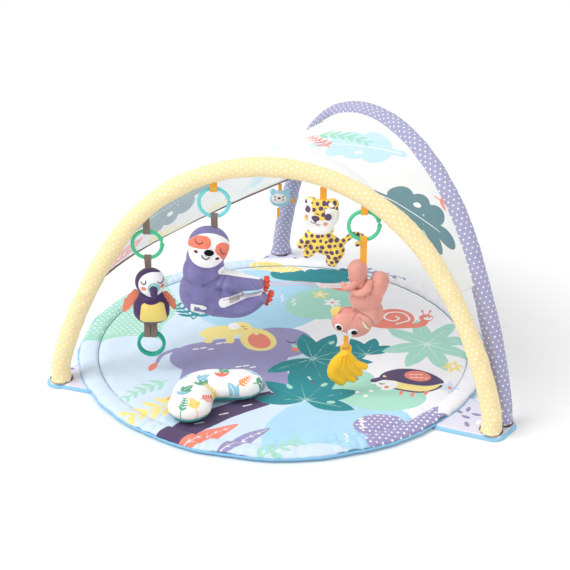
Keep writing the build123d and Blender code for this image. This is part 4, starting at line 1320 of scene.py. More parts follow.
def spots(p, pitch, radius, seed, stretch=1.25):
    # scattered oval spots: one in each cell of a staggered grid, moved and turned a little
    gx, gy = p[..., 0] / pitch, p[..., 1] / pitch
    nearest = np.full(p.shape[:-1], 50.0)
    table = np.random.default_rng(seed).uniform(-1, 1, (64, 64, 4))
    for i in (-1, 0, 1):
        for j in (-1, 0, 1):
            row = np.floor(gy) + j
            column = np.floor(gx - 0.5 * (row % 2)) + i
            pick = table[column.astype(int) % 64, row.astype(int) % 64]
            x = (gx - (column + 0.5 * (row % 2) + 0.5 + 0.16 * pick[..., 0])) * pitch
            y = (gy - (row + 0.5 + 0.16 * pick[..., 1])) * pitch
            c, s = np.cos(pick[..., 2] * 3), np.sin(pick[..., 2] * 3)
            u, v = (x * c + y * s) / stretch, y * c - x * s
            nearest = np.minimum(nearest, np.hypot(u, v) - radius * (1 + 0.22 * pick[..., 3]))
    return nearest


def surface(mesh):
    # finds a skin's front: height over the toy's plane at points (x, y)
    tree = BVHTree.FromPolygons(
        [tuple(v.co) for v in mesh.vertices], [tuple(f.vertices) for f in mesh.polygons]
    )

    def touch(toy, x, y):
        start = Vector(toy.room((x, y, 120.0)) * 0.001)
        hit = tree.ray_cast(start, Vector(-toy.axes[2]))[0]
        return np.array(hit) * 1000.0 if hit else toy.room((x, y, 0.0))

    return touch


def thread(name, toy, touch, points, radius, material, count=22, above=0.35):
    # an embroidered line: a round cord laid on the skin
    path = np.array([touch(toy, x, y) for x, y in curveThrough(points, count)])
    for _ in range(2):
        path[1:-1] = (path[:-2] + 2 * path[1:-1] + path[2:]) / 4
    path = path + toy.axes[2] * above
    width = radius * np.sqrt(np.clip(1 - np.abs(np.linspace(-1, 1, count)) ** 6, 0.15, 1))
    ring = circle(1.0, 10)[None] * width[:, None, None]
    return addPiece(name, tubeMesh(name, path, ring, toy.axes[2]), toy.body, material, outward=True)


def dress(material, *names):
    # a CAD node keeps its shape and gets this finish
    for name in names:
        for place in frame["nodes"][name].material_slots:
            place.material = material


tab = {
    "start": 427.5,
    "rimRadius": 431.5,
    "level": 460.0,  # out here the tongue no longer bends round the rim
    "thick": 8.2,
    "nose": 26.0,
    "reach": 30.0,
    "root": 61.0,
    "ground": tone(226, 224, 240),
    "colours": {
        "leafGrey": tone(150, 142, 180),
        "leafPale": tone(250, 250, 252),
        "rim": tone(150, 205, 236),
    },
}


def makeTab(name, node, spot, spread, seed):
    # a padded tongue: straight sides from the rim to a round nose, crowned between its piped edges
    away = np.array(spot, float) if spread == 0 else np.array([spot[0], 0.0])
    distance = np.linalg.norm(away)
    out = away / distance
    across = np.array([-out[1], out[0]])
    rows, columns = 70, 64
    end = distance + tab["reach"]
    centre = end - tab["nose"]
    start = tab["start"]
    x = start + (end - start) * np.sin(np.linspace(0, np.pi / 2, rows))
    root = tab["root"] + spread / 2
    straight = root + (tab["nose"] + spread - root) * np.clip((x - start) / (centre - start), 0, 1)
    bow = spread + np.sqrt(np.clip(tab["nose"] ** 2 - (x - centre) ** 2, 0, None))
    width = np.where(x < centre, straight, bow)
    width = np.maximum(width, 0.5)
    t = np.sin(np.linspace(-np.pi / 2, np.pi / 2, columns))
    px = x[:, None] + 0 * t
    py = width[:, None] * t
    # the root follows the mat's round rim
    rim, level = tab["rimRadius"], tab["level"]
    drop = np.sqrt(np.clip(rim**2 - py**2, 0, None)) - rim
    px = px + drop * np.clip((level - px) / (level - start), 0, None)
    edge = np.minimum((1 - np.abs(t))[None, :] * width[:, None], (end - px).clip(0, None))
    high = tab["thick"] * np.clip(edge / 9.0, 0, 1) ** 0.4
    pucker = 0.28 * np.sin(px / 2.3 + 3 * t) * np.exp(-((edge - 7) / 3.5) ** 2)
    high = (high + pucker - 0.55 * fall(edge - 6.0, 1.3)).clip(0.05, tab["thick"])
    top = np.stack([px * out[0] + py * across[0], px * out[1] + py * across[1], high], -1)
    bottom = top * np.array([1, 1, 0.0]) + np.array([0, 0, 0.03])
    mesh = layered(name, top, bottom)
    p = np.stack([px, py], -1).reshape(-1, 2)
    art = Print(p, tab["colours"])
    picks = np.random.default_rng(seed)
    for k in range(9):
        root = (picks.uniform(440, end - 10), picks.uniform(-50, 50))
        art.draw(
            "leafGrey" if k % 3 else "leafPale",
            leaf(p, root, polar(root, 22, picks.uniform(0, 360)), 9),
        )
    art.draw("rim", edge.reshape(-1) - 5.4)
    for layer, values in art.layers.items():
        paint(mesh, layer, np.concatenate([values, values * 0 + 9]))
    cloth = clothFinish(name + "Cotton", tab["ground"], tab["colours"].items(), weave=0.7, bumps=0.3)
    piece = addPiece(name, mesh, "mat", cloth, [node], outward=True)


makeTab("tab_left_pad", "tab_left", (-285, -374), 0, 5)
makeTab("tab_back_pad", "tab_back", (-285, 374), 0, 6)
makeTab("tab_right_pad", "tab_right", (520, 0), 20, 7)
print("tabs made")


pillow = {
    "bend": ((26, -340), (1, -272), (54, -212)),
    "width": 94.0,
    "height": 45.0,
    "floor": 17.3,
    "ground": tone(250, 250, 248),
    "colours": {
        "green": tone(96, 172, 140),
        "orange": tone(246, 160, 96),
        "blue": tone(150, 205, 226),
        "yellow": tone(250, 216, 110),
        "coral": tone(238, 130, 110),
        "paper": tone(250, 250, 248),
        "tealBand": tone(70, 170, 172),
        "seam": tone(214, 214, 208),
    },
}


def makePillow():
    # a bent bolster: superellipse sections along an arc, with round ends, swollen by air
    a, b, c = (np.array(point, float) for point in pillow["bend"])
    line = curveThrough([a, b, c], 60)
    ends = np.linspace(0.1, np.pi / 2, 12)[:-1]
    first, last = unit(line[0] - line[1]), unit(line[-1] - line[-2])
    half = pillow["width"] / 2
    reach = (half * np.cos(ends))[:, None]
    path = np.vstack([line[0] + first * reach, line, (line[-1] + last * reach)[::-1]])
    size = np.concatenate([np.sin(ends), np.ones(60), np.sin(ends)[::-1]])
    turn = np.linspace(0, 2 * np.pi, 48, endpoint=False)
    wide = signedPower(np.cos(turn), 0.86) * half * 0.97
    high = signedPower(np.sin(turn), 0.72) * pillow["height"] / 2 * 0.94
    profile = np.stack([wide, high], -1)
    ring = profile[None] * np.stack([size, size**0.55], -1)[:, None, :]
    path3 = np.column_stack([path, np.full(len(path), pillow["floor"] + pillow["height"] / 2)])
    shell = closeEnds(sweep(path3, ring, (0, 0, 1)))
    mesh = melt("pillow_soft", [shell], None, voxel=5.0, smooth=3)
    mesh = stuff(mesh, pressure=4.0, cap=5.0)
    mesh = finer(mesh, 2)
    q = coordinates(mesh) * 1000.0
    middle = pillow["floor"] + 0.40 * pillow["height"]
    seam = q[:, 2] - middle
    gather = 0.8 * ripple(q[:, 0], q[:, 1], 13.0, 91) * fall(seam, 9.0)
    lift(mesh, gather - 1.3 * fall(seam, 1.6) + 0.5 * ripple(q[:, 0], q[:, 1] + q[:, 2], 45.0, 92))
    q = coordinates(mesh) * 1000.0
    q[:, 2] = np.clip(q[:, 2], pillow["floor"], pillow["floor"] + pillow["height"] + 2)
    setCoordinates(mesh, q * 0.001)
    p = np.stack([0.8 * q[:, 0] + 0.6 * q[:, 1], -0.6 * q[:, 0] + 0.8 * q[:, 1]], -1)
    art = Print(p, pillow["colours"])
    picks = np.random.default_rng(19)
    names = ["green", "orange", "blue", "yellow", "green", "coral", "blue"]
    for k in range(30):
        root = (
            -196 + 36 * (k % 5) + picks.uniform(-7, 7),
            -336 + 34 * (k // 5) + picks.uniform(-7, 7) + 17 * (k % 2),
        )
        angle = picks.uniform(30, 150)
        name = names[(k * 3 + k // 5) % 7]
        if k % 3 == 0:
            art.fern(name, root, angle, 34, 5, 13, 14)
        elif k % 3 == 1:
            art.put(name, leaf, root, polar(root, 30, angle), 13)
            art.put("paper", bar, root, polar(root, 26, angle), 0.7, 0.4)
            for side in (-40, 40):
                art.put(name, leaf, root, polar(root, 20, angle + side), 8)
            art.put(name, bar, root, polar(root, -9, angle), 1.0)
        else:
            for side in (-38, 0, 38):
                art.put(name, leaf, root, polar(root, 24, angle + side), 8.5)
    art.draw("tealBand", seam + 1.2)
    art.draw("seam", np.abs(seam) - 1.0)
    art.paintOn(mesh)
    cloth = clothFinish("pillowCotton", pillow["ground"], pillow["colours"].items(), weave=0.6, bumps=0.3)
    piece = addPiece("pillow_soft", mesh, "pillow", cloth, ["pillow_cover"])


makePillow()
print("pillow made")


inkBlack = plasticFinish("blackThread", tone(28, 22, 30), gloss=0.55, grain=0.6)
plumThread = plasticFinish("plumThread", tone(84, 48, 92), gloss=0.6, grain=0.6)


def toyMesh(name, shells, toy, voxel, smooth, cap, seam=0.5):
    # melted shells, swollen by air, then divided; a sewn seam runs round the side
    mesh = melt(name, shells, toy, voxel, smooth)
    mesh = stuff(mesh, pressure=3.0, cap=cap)
    mesh = finer(mesh)
    own = toy.own(mesh)
    gather = 0.22 * ripple(own[:, 0], own[:, 1], 7.0, len(name)) * fall(own[:, 2], 5.0)
    lift(mesh, gather - seam * fall(own[:, 2], 0.9))
    return mesh


toucan = {
    "colours": {
        "white": tone(250, 250, 252),
        "yellow": tone(246, 222, 128),
        "coral": tone(246, 140, 112),
        "aqua": tone(160, 216, 214),
    },
    "plum": tone(82, 60, 104),
    "beak": tone(84, 62, 106),
}


def makeToucan():
    # three balls melted to a body, a printed face and belly, eyes, beak and wings
    toy = Toy("toucan_swing", "toucan")
    head = [
        ball((3, -54), (31.5, 31.5, 23)),
        ball((3, -86), (28, 22, 20)),
        ball((3, -113), (37.5, 33, 25), power=2.5),
    ]
    mesh = toyMesh("toucan_soft", head, toy, voxel=2.6, smooth=7, cap=2.0)
    p = toy.own(mesh)
    front = -p[:, 2] - 2
    art = Print(p[:, :2], toucan["colours"], front)
    face = np.maximum(oval(p, (8.5, -52), 27.5, 25), front)
    belly = np.maximum(block(p, (8, -112.5), 25, 22, 9, taper=0.14), -oval(p, (6, -72), 27, 22))
    belly = np.maximum(belly, front)
    ring = np.maximum(oval(p, (12, -57), 12, 11.5), front)
    art.draw("white", face)
    art.draw("aqua", ring)
    art.put("coral", oval, (-8.5, -58), 5.2, 4.1)
    art.put("coral", oval, (27.5, -55), 3.2, 4.2)
    art.draw("yellow", belly)
    lift(
        mesh,
        raised(np.minimum(face, belly), 0.5) - 0.5 * fall(
            stroke(p, [(-26, -80), (0, -88), (30, -80)], 0.1), 3.5
        ),
    )
    art.paintOn(mesh)
    cloth = plushFinish(
        "plumVelour", toucan["plum"], pile=1500.0, bumps=0.35, layers=toucan["colours"].items()
    )
    # painted shade in the creases, painted highlights on the ridges
    paintShadeAndHighlight(mesh)
    piece = addPiece("toucan_soft", mesh, "toucan", cloth, ["toucan_body"])
    touch = surface(mesh)
    for name, at in (("left", -8), ("right", 25.5)):
        thread(
            f"toucan_eye_{name}",
            toy,
            touch,
            [(at - 4.5, -46), (at - 1, -48), (at + 3.5, -46.5), (at + 4.4, -40)],
            1.05,
            inkBlack,
        )
        thread(
            f"toucan_lash_{name}",
            toy,
            touch,
            [(at - 7, -43.5), (at - 3, -46.8)],
            0.8,
            inkBlack,
            count=8,
        )

    # beak: a short stuffed cone with a round tip
    beak = melt(
        "toucan_beak_soft",
        [limb([(11, -58, 19), (12, -61, 26), (12.5, -65, 32)], [9.5, 8.2, 7.6])],
        toy,
        voxel=1.8,
        smooth=3,
    )
    beak = finer(beak)
    q = toy.own(beak)
    paint(beak, "aqua", (q[:, 2] - 24.5) * 0.9)
    tip = plushFinish(
        "beakVelour",
        toucan["beak"],
        pile=1600.0,
        bumps=0.35,
        layers=[("aqua", toucan["colours"]["aqua"])],
    )
    addPiece("toucan_beak_soft", beak, "toucan", tip, ["toucan_beak"])

    # ragged felt wings: a bent strip whose outer edge is cut in steps
    felt = plushFinish("coralFelt", tone(248, 146, 118), pile=900.0, bumps=0.5, shade=0.08, sheen=0.3)
    for side, root, tip, wide in ((-1, (-25, -73), (-53, -122), 21.0), (1, (31, -76), (50, -116), 17.0)):
        t, s = np.meshgrid(np.linspace(0, 1, 90), np.linspace(-1, 1, 26), indexing="ij")
        x = root[0] + (tip[0] - root[0]) * (0.35 * t + 0.65 * t**1.6) + side * 4.0 * np.sin(np.pi * t)
        y = root[1] + (tip[1] - root[1]) * t
        taper = np.sin(np.pi * (0.10 + 0.86 * t**0.8)) ** 0.6
        notch = np.abs(np.sin(np.pi * (0.3 + 4.0 * t))) ** 0.7
        outer = s * side > 0
        cut = np.where(outer, 0.78 + 0.34 * notch * np.clip(3 * t - 0.6, 0, 1), 0.9)
        across = wide * 0.5 * taper * s * cut
        along = unit(np.array([tip[0] - root[0], tip[1] - root[1]], float))
        middle = np.stack(
            [x - along[1] * across, y + along[0] * across, -3.2 + 2.4 * np.sin(3.4 * t) + 1.6 * s * t],
            -1,
        )
        wing = slabMesh(f"toucan_wing_{side}", middle, 2.2, toy)
        addPiece(
            f"toucan_wing_{'left' if side < 0 else 'right'}",
            wing,
            "toucan",
            felt,
            ["toucan_wings"],
            outward=True,
        )


makeToucan()
print("toucan made")


sloth = {
    "purple": tone(128, 122, 172),
    "colours": {
        "white": tone(252, 251, 252),
        "coral": tone(243, 136, 112),
        "black": tone(20, 16, 20),
        "red": tone(120, 30, 34),
        "satin": tone(196, 190, 196),
    },
}


def makeSloth():
    # shells melted to one body, then patches, a face of threads, and felt claws
    toy = Toy("sloth_swing", "sloth")
    shells = [
        ball((-13, -63), (42.5, 42.5, 27), power=2.1),
        ball((-20, -90), (40.0, 40, 28)),
        ball((-22.5, -118), (45.0, 44, 29)),
        ball((-24, -162), (51, 51, 31), power=2.25),
        ball((8, -176), (48, 42, 29)),
        limb([(0, -134), (40, -140, 3), (66, -142, 5), (86, -143, 6)], [25, 22, 17, 13.5]),
        limb([(0, -186), (40, -194, 2), (66, -190, 4), (90, -176, 6)], [32, 26.5, 21, 14.5]),
    ]
    mesh = toyMesh("sloth_soft", shells, toy, voxel=3.2, smooth=6, cap=2.5)
    p = toy.own(mesh)
    front = -p[:, 2] - 2
    # creases where the arm and leg leave the body
    for line, depth, width in (
        ([(19, -112), (4, -124), (-22, -137)], 1.5, 3.4),
        ([(19, -122), (13, -138), (10, -160)], 1.9, 4.0),
        ([(10, -124), (-4, -136), (-14, -141)], 1.0, 3.0),
        ([(20, -162), (12, -150), (4, -146)], 1.1, 3.4),
        ([(60, -126), (70, -133), (82, -146)], 0.7, 1.8),
        ([(18, -168), (50, -167), (84, -160)], 2.2, 3.0),
    ):
        lift(mesh, -depth * fall(stroke(p, line, 0.1).clip(0, 50), width) * (p[:, 2] > -4))
    art = Print(p[:, :2], sloth["colours"], front)
    face = np.maximum(oval(p, (-12, -63.5), 41.5, 34), front)
    left = np.maximum(np.maximum(bar(p, (-60, -45.5), (-17.5, -46), 12), face + 0.4), front)
    right = np.minimum(oval(p, (15, -62), 14.5, 12.5, -60), bar(p, (16, -64), (19, -88), 11, 2.5))
    right = np.maximum(np.maximum(right, face + 0.4), front)
    arm = np.maximum(bar(p, (13, -111), (88, -128), 6.5, 3.6), -p[:, 2] - 9)
    leg = np.maximum(bar(p, (17, -173.5), (90, -159.5), 10, 3.4), -p[:, 2] - 9)
    art.draw("white", face)
    art.draw("coral", left)
    art.draw("coral", right)
    art.put("black", oval, (-10, -65.5), 9.6, 6.8, -8)
    art.put("red", oval, (-35.5, -65), 4.2, 3.2)
    art.put("red", oval, (5.5, -80), 4.0, 3.2)
    art.draw("white", arm)
    art.draw("white", leg)
    art.draw("satin", np.maximum(block(p, (38, -168.5), 10, 6.4, 1.5, angle=10), leg + 1.5))
    note = np.minimum(bar(p, (-45, -181), (-26, -183), 3.6), bar(p, (-45, -181), (-46.5, -200), 3.6))
    note = np.minimum(
        note, np.minimum(bar(p, (-46.5, -200), (-30, -203), 3.6), oval(p, (-24, -187), 6.8, 5.4))
    )
    note = np.maximum(np.minimum(note, oval(p, (-28, -206), 6.8, 5.0)), front)
    art.draw("white", note)
    patches = np.minimum(np.minimum(face, note), np.minimum(arm, leg))
    lift(
        mesh,
        raised(patches, 0.45) + raised(np.minimum(left, right), 0.35) + raised(
            art.layers["black"], 1.6, 4.0
        ),
    )
    art.paintOn(mesh)
    cloth = plushFinish(
        "purpleMinky",
        sloth["purple"],
        pile=1100.0,
        bumps=0.5,
        shade=0.30,
        layers=sloth["colours"].items(),
    )
    # painted shade in the creases, painted highlights on the ridges
    paintShadeAndHighlight(mesh)
    piece = addPiece("sloth_soft", mesh, "sloth", cloth, ["sloth_body"])
    touch = surface(mesh)
    thread(
        "sloth_eye_left",
        toy,
        touch,
        [(-37.5, -40), (-35, -46), (-29.5, -48.5), (-24, -46.5), (-21.8, -43.5)],
        0.85,
        plumThread,
    )
    thread(
        "sloth_eye_right",
        toy,
        touch,
        [(13, -57), (13, -65), (16, -70.5), (20.5, -71.5)],
        0.85,
        plumThread,
    )
    thread(
        "sloth_smile",
        toy,
        touch,
        [(-24.5, -70), (-22.5, -75.5), (-17, -78.8), (-12, -78), (-9, -74.5)],
        1.1,
        inkBlack,
    )

    # felt fringes as claws: teeth along the outer edge, each curled a little
    felt = plushFinish("redFelt", tone(234, 98, 82), pile=900.0, bumps=0.6, shade=0.14, sheen=0.3)
    for number, (x, y, turn) in enumerate(((95, -143, -4), (101, -172, -24))):
        for layer in range(2):
            t, s = np.meshgrid(np.linspace(0, 1, 18), np.linspace(-1, 1, 81), indexing="ij")
            lobes = np.abs(np.sin((s * 2.5 + 0.5 * layer) * np.pi)) ** 0.75
            reach = (5.5 + 6.5 * lobes + 1.2 * np.sin(5 * s + 2 * layer)) * t
            c, n = math.cos(math.radians(turn)), math.sin(math.radians(turn))
            u, v = reach - 2.0 * s**2 * t, s * (14.5 + 1.5 * t)
            depth = (5.0 if layer else 1.0) + 2.6 * np.sin(8 * s + 2 * layer) * t
            depth = depth + (4.5 if layer else -3.0) * t**2
            middle = np.stack([x + u * c - v * n, y + u * n + v * c, depth], -1)
            claw = slabMesh(f"sloth_claw_{number}_{layer}", middle, 1.8, toy)
            addPiece(
                f"sloth_claw_{number}_{layer}",
                claw,
                "sloth",
                felt,
                ["sloth_claws"],
                outward=True,
            )


makeSloth()
print("sloth made")


leopard = {
    "yellow": tone(255, 222, 104),
    "colours": {
        "plum": tone(104, 78, 112),
        "white": tone(252, 251, 248),
        "coral": tone(247, 150, 126),
        "grey": tone(150, 134, 156),
    },
}


def makeLeopard():
    # shells melted to one body, then spots, a printed face and a mouth of threads
    toy = Toy("leopard_swing", "leopard")
    shells = [
        ball((-3, -55), (35.5, 34, 13), power=2.15),
        ball((-24, -28), (12.5, 11.5, 8)),
        ball((17, -33), (14.5, 12.5, 8.5)),
        ball((-14, -101), (24, 20, 11.5)),
        ball((-4, -86), (28, 16, 11.5)),
        ball((6, -117), (37, 24, 12.5), turn=-24),
        ball((24, -131), (20, 20, 12)),
        limb([(-24, -101, 2), (-42, -117, 4)], [11.5, 10]),
        limb([(-12, -117, 3), (-30, -137, 5)], [12, 9.5]),
        limb([(24, -138), (19, -153)], [17, 13]),
        limb([(34, -119), (47, -106), (62, -97), (76, -102), (75, -113), (66, -118)], [6.2, 5.4]),
    ]
    mesh = toyMesh("leopard_soft", shells, toy, voxel=2.3, smooth=4, cap=1.5, seam=0.35)
    p = toy.own(mesh)
    front = -p[:, 2] - 1
    art = Print(p[:, :2], leopard["colours"], front)
    white = np.minimum(oval(p, (-26, -45), 15, 17, 12), oval(p, (15, -54), 20, 15, -28))
    white = np.minimum(white, oval(p, (-5, -75), 31, 19))
    brow = np.maximum(oval(p, (-9, -42), 11.5, 24, 16), -(p[:, 1] + 62))
    white = np.maximum(np.maximum(white, -brow), -(p[:, 1] + 98))
    white = np.maximum(white, np.where(p[:, 1] < -86, oval(p, (-5, -72), 30, 21), -50))
    white = np.maximum(white, front)
    nose = np.minimum(oval(p, (-14.5, -57.5), 8.0, 5.6, -12), oval(p, (-15.0, -61.5), 4.6, 3.6))
    art.draw("plum", np.maximum(np.maximum(spots(p[:, :2], 11.2, 3.6, 12, 1.15), -white), 3.0 - nose))
    art.draw("white", white)
    art.put("white", oval, (-26, -24), 5, 4, 30)
    art.put("white", oval, (15, -32), 5.5, 4, -30)
    for x, y, r in ((-30, -41, 6.4), (9.5, -55, 7.4)):
        art.put("plum", oval, (x, y), r * 0.95, r)
        art.draw(
            "grey",
            np.maximum(np.maximum(np.abs(disc(p, (x + 1.2, y), r + 1.6)) - 0.35, x + 1 - p[:, 0]), front),
        )
    art.draw("plum", np.maximum(nose, front))
    art.put("coral", oval, (-31.5, -56), 3.0, 3.6)
    art.put("coral", disc, (4.5, -69.5), 4.2)
    lift(mesh, -1.1 * fall(stroke(p, [(-34, -84), (-18, -92), (6, -91), (22, -80)], 0.1), 2.2))
    lift(mesh, -1.2 * fall(stroke(p, [(-20, -106), (-27, -116), (-40, -128)], 0.1), 1.8) * (p[:, 2] > 0))
    art.paintOn(mesh)
    cloth = clothFinish(
        "spottedCotton",
        leopard["yellow"],
        leopard["colours"].items(),
        weave=0.6,
        bumps=0.3,
        sheen=0.3,
    )
    piece = addPiece("leopard_soft", mesh, "leopard", cloth, ["leopard_body"])
    touch = surface(mesh)
    thread(
        "leopard_mouth_left",
        toy,
        touch,
        [(-24, -62), (-22, -67), (-17.5, -68), (-14.8, -64)],
        0.6,
        plumThread,
    )
    thread(
        "leopard_mouth_right",
        toy,
        touch,
        [(-14.8, -64), (-13.5, -70), (-9, -72), (-5, -69.5)],
        0.6,
        plumThread,
    )


makeLeopard()
print("leopard made")


plush = {
    "pink": tone(228, 160, 147),
    "colours": {
        "white": tone(252, 250, 249),
        "black": tone(24, 20, 24),
        "cream": tone(250, 240, 206),
        "seam": tone(190, 112, 100),
    },
}


def makePlush():
    # shells melted to one body, then a printed face, the arms and the ear that shows
    toy = Toy("plush_swing", "plush")
    shells = [
        ball((-10.5, -63), (19, 19.5, 17.5)),
        limb([(-10.5, -62), (-9, -84), (0, -108)], [19, 17, 19]),
        ball((33, -87), (18.5, 19, 17.5)),
        limb([(33, -88), (26, -104), (12, -122)], [18.5, 20, 22]),
        ball((7, -124), (33, 30, 24)),
        ball((14, -156), (29, 30, 23)),
        ball((-19, -178), (41, 31, 25), turn=-12, power=2.15),
    ]
    mesh = toyMesh("plush_soft", shells, toy, voxel=2.6, smooth=4, cap=1.5, seam=0.3)
    p = toy.own(mesh)
    front = -p[:, 2] - 2
    for line, depth, width in (
        ([(-46, -153), (-26, -149), (-2, -150), (16, -160), (22, -176)], 2.8, 3.4),
        ([(-9, -150), (-16, -158), (-20, -166)], 0.9, 1.2),
        ([(6, -84), (9, -96), (14, -106)], 1.6, 3.0),
        ([(-2, -84), (8, -100), (4, -112)], 1.2, 2.4),
    ):
        lift(mesh, -depth * fall(stroke(p, line, 0.1).clip(0, 50), width) * (p[:, 2] > -6))
    art = Print(p[:, :2], plush["colours"], front)
    art.put("white", oval, (-45, -181), 7.5, 8.5, 20)
    art.put("white", oval, (-18, -188), 10, 8, 10)
    art.put("white", oval, (-35, -201), 17, 10, -12)
    art.put("black", oval, (-44.5, -181.5), 5.4, 6.0)
    art.put("black", oval, (-15, -189.5), 6.2, 5.8)
    # painted highlight: a small white glint in each pupil
    for x, y in ((-42.6, -180), (-12.2, -188)):
        art.put("white", disc, (x, y), 0.8)
    for x, y in ((-38, -196), (-29, -200)):
        art.put("black", disc, (x, y), 0.9)
    art.put("cream", leaf, (-2, -163), (17, -192), 4.4)
    art.put("seam", bar, (-12, -152), (-21, -165), 0.35)
    lift(
        mesh,
        raised(art.layers["black"], 0.7, 2.0) - 0.9 * fall(
            leaf(p, (-2, -163), (17, -192), 4.4).clip(-9, 9), 1.4
        ),
    )
    art.paintOn(mesh)
    cloth = plushFinish(
        "pinkVelour",
        plush["pink"],
        pile=1300.0,
        bumps=0.5,
        shade=0.26,
        layers=plush["colours"].items(),
    )
    # painted shade in the creases, painted highlights on the ridges
    paintShadeAndHighlight(mesh)
    piece = addPiece("plush_soft", mesh, "plush", cloth, ["plush_body"])

    # arms folded over the belly, each with a round hand
    bare = plushFinish("pinkArmVelour", plush["pink"], pile=1300.0, bumps=0.5, shade=0.26)
    for name, path, radii in (
        ("right", [(13, -88, 12), (6, -98, 21), (-9, -103, 24), (-22, -98, 21)], [8.0, 8.2, 7.0, 5.6]),
        ("left", [(-14, -86, 14), (-23, -89, 22), (-34, -94, 20), (-38, -87, 17)], [6.6, 6.6, 5.8, 5.4]),
    ):
        arm = melt(f"plush_arm_{name}", [limb(path, radii)], toy, voxel=1.7, smooth=3)
        arm = finer(arm)
        q = toy.own(arm)
        lift(arm, 0.3 * ripple(q[:, 0], q[:, 1], 7.0, 3) - 0.4 * fall(q[:, 1] + 99 + 0.3 * q[:, 0], 0.8))
        # painted shade in the creases, painted highlights on the ridges
        paintShadeAndHighlight(arm)
        sleeve = addPiece(f"plush_arm_{name}", arm, "plush", bare)

    # one ear shows: a flat half disc of yellow cloth
    t, s = np.meshgrid(np.linspace(0, 1, 14), np.linspace(-1, 1, 28), indexing="ij")
    bow = np.sqrt(np.clip(1 - (0.96 * s) ** 2, 0, 1))
    reach = 16.0 * t * bow
    middle = np.stack(
        [
            -46 - reach * 0.94 + s * 4.5,
            -154 + reach * 0.34 + s * 10.5,
            4 + 2.0 * np.cos(s * 1.5) + 1.2 * t,
        ],
        -1,
    )
    ear = slabMesh("plush_ear_cloth", middle, 3.4, toy)
    yellow = plushFinish("yellowVelour", tone(248, 222, 132), pile=1300.0, bumps=0.4)
    addPiece("plush_ear_cloth", ear, "plush", yellow, ["plush_ears"], outward=True)


makePlush()
print("plush made")

banana = {"skin": tone(255, 199, 36), "slot": tone(60, 160, 150)}


def makeBanana():
    # soft moulding: a bar for the strap over four fingers that meet in grooves
    # fine bumps on the outer finger
    toy = Toy("banana_swing", "banana")
    shells = [
        limb([(-8.6, 0), (8.6, 0)], [2.6, 2.6]),
        limb([(-8.6, 0), (-8.6, -10)], [2.9, 2.9]),
        limb([(8.6, 0), (8.6, -10)], [2.9, 2.9]),
        limb([(-7.5, -11.8), (7.5, -11.8)], [3.4, 3.4]),
        limb([(1, -15), (10, -30), (22, -42), (38, -46)], [8.5, 9.5, 9.5, 7.0]),
        limb([(-1, -17), (4, -39), (14, -54), (28, -61)], [8.5, 10, 10, 7.0]),
        limb([(-4, -18), (-7, -42), (0, -63), (16, -75)], [8.5, 11, 11, 7.5]),
        limb([(-5, -18), (-19, -40), (-23, -62), (-8, -78)], [8, 12.5, 13, 11]),
        ball((-6, -52), (22, 26, 9.5)),
    ]
    mesh = melt("banana_moulding", shells, toy, voxel=1.5, smooth=2)
    mesh = finer(mesh)
    p = toy.own(mesh)
    zone = np.maximum(oval(p, (-20, -60), 19, 24), -oval(p, (10, -50), 24, 30))
    bumps = spots(p[:, :2], 4.2, 1.25, 4, 1.0)
    lift(mesh, 0.9 * np.clip(0.5 - bumps, 0, 1) * (zone < 0) * (p[:, 2] > 1))
    grooves = (
        [(3, -17), (11, -33), (22, -45), (36, -54)],
        [(-1, -19), (4, -42), (13, -58), (26, -69)],
        [(-5, -20), (-8, -44), (-2, -64), (8, -77)],
    )
    for line in grooves:
        along = stroke(p, line, 0.1).clip(0, 50)
        lift(mesh, (0.8 * fall(along - 3.2, 1.1) - 1.7 * fall(along, 1.2)) * (p[:, 2] > 2))
    paint(mesh, "slot", np.maximum(block(p, (0, -5.3), 5.6, 2.6, 1.0), -p[:, 2] - 3.4))
    rubber = plasticFinish("bananaRubber", banana["skin"], gloss=0.42, clear=0.06, grain=0.3)
    addPiece("banana_moulding", mesh, "banana", rubber, ["banana_teether"])


makeBanana()
print("banana made")

backToy = {
    "blue": tone(168, 214, 230),
    "colours": {"white": tone(244, 240, 236), "brown": tone(104, 72, 60), "coral": tone(240, 150, 130)},
}


def makeBackToy():
    # a flat ball with two small ones for ears, and a printed face
    toy = Toy("back_toy_swing", "back_toy")
    shells = [
        ball((0, -35), (25, 21, 7.5), power=2.2),
        ball((-17, -17), (8, 8, 4.5)),
        ball((17, -17), (8, 8, 4.5)),
    ]
    mesh = toyMesh("back_toy_soft", shells, toy, voxel=2.2, smooth=4, cap=1.0, seam=0.3)
    p = toy.own(mesh)
    front = -p[:, 2]
    art = Print(p[:, :2], backToy["colours"], front)
    art.put("white", oval, (-2, -33), 17, 12.5)
    art.put("brown", oval, (-2, -31), 3.6, 2.6)
    for x in (-11, 7):
        art.put("brown", disc, (x, -28), 1.9)
        art.put("coral", disc, (x, -35), 2.6)
    art.paintOn(mesh)
    cloth = plushFinish(
        "paleBlueVelour", backToy["blue"], pile=1300.0, bumps=0.4, layers=backToy["colours"].items()
    )
    # painted shade in the creases, painted highlights on the ridges
    paintShadeAndHighlight(mesh)
    piece = addPiece("back_toy_soft", mesh, "back_toy", cloth, ["back_toy_body"])


makeBackToy()
print("back toy made")


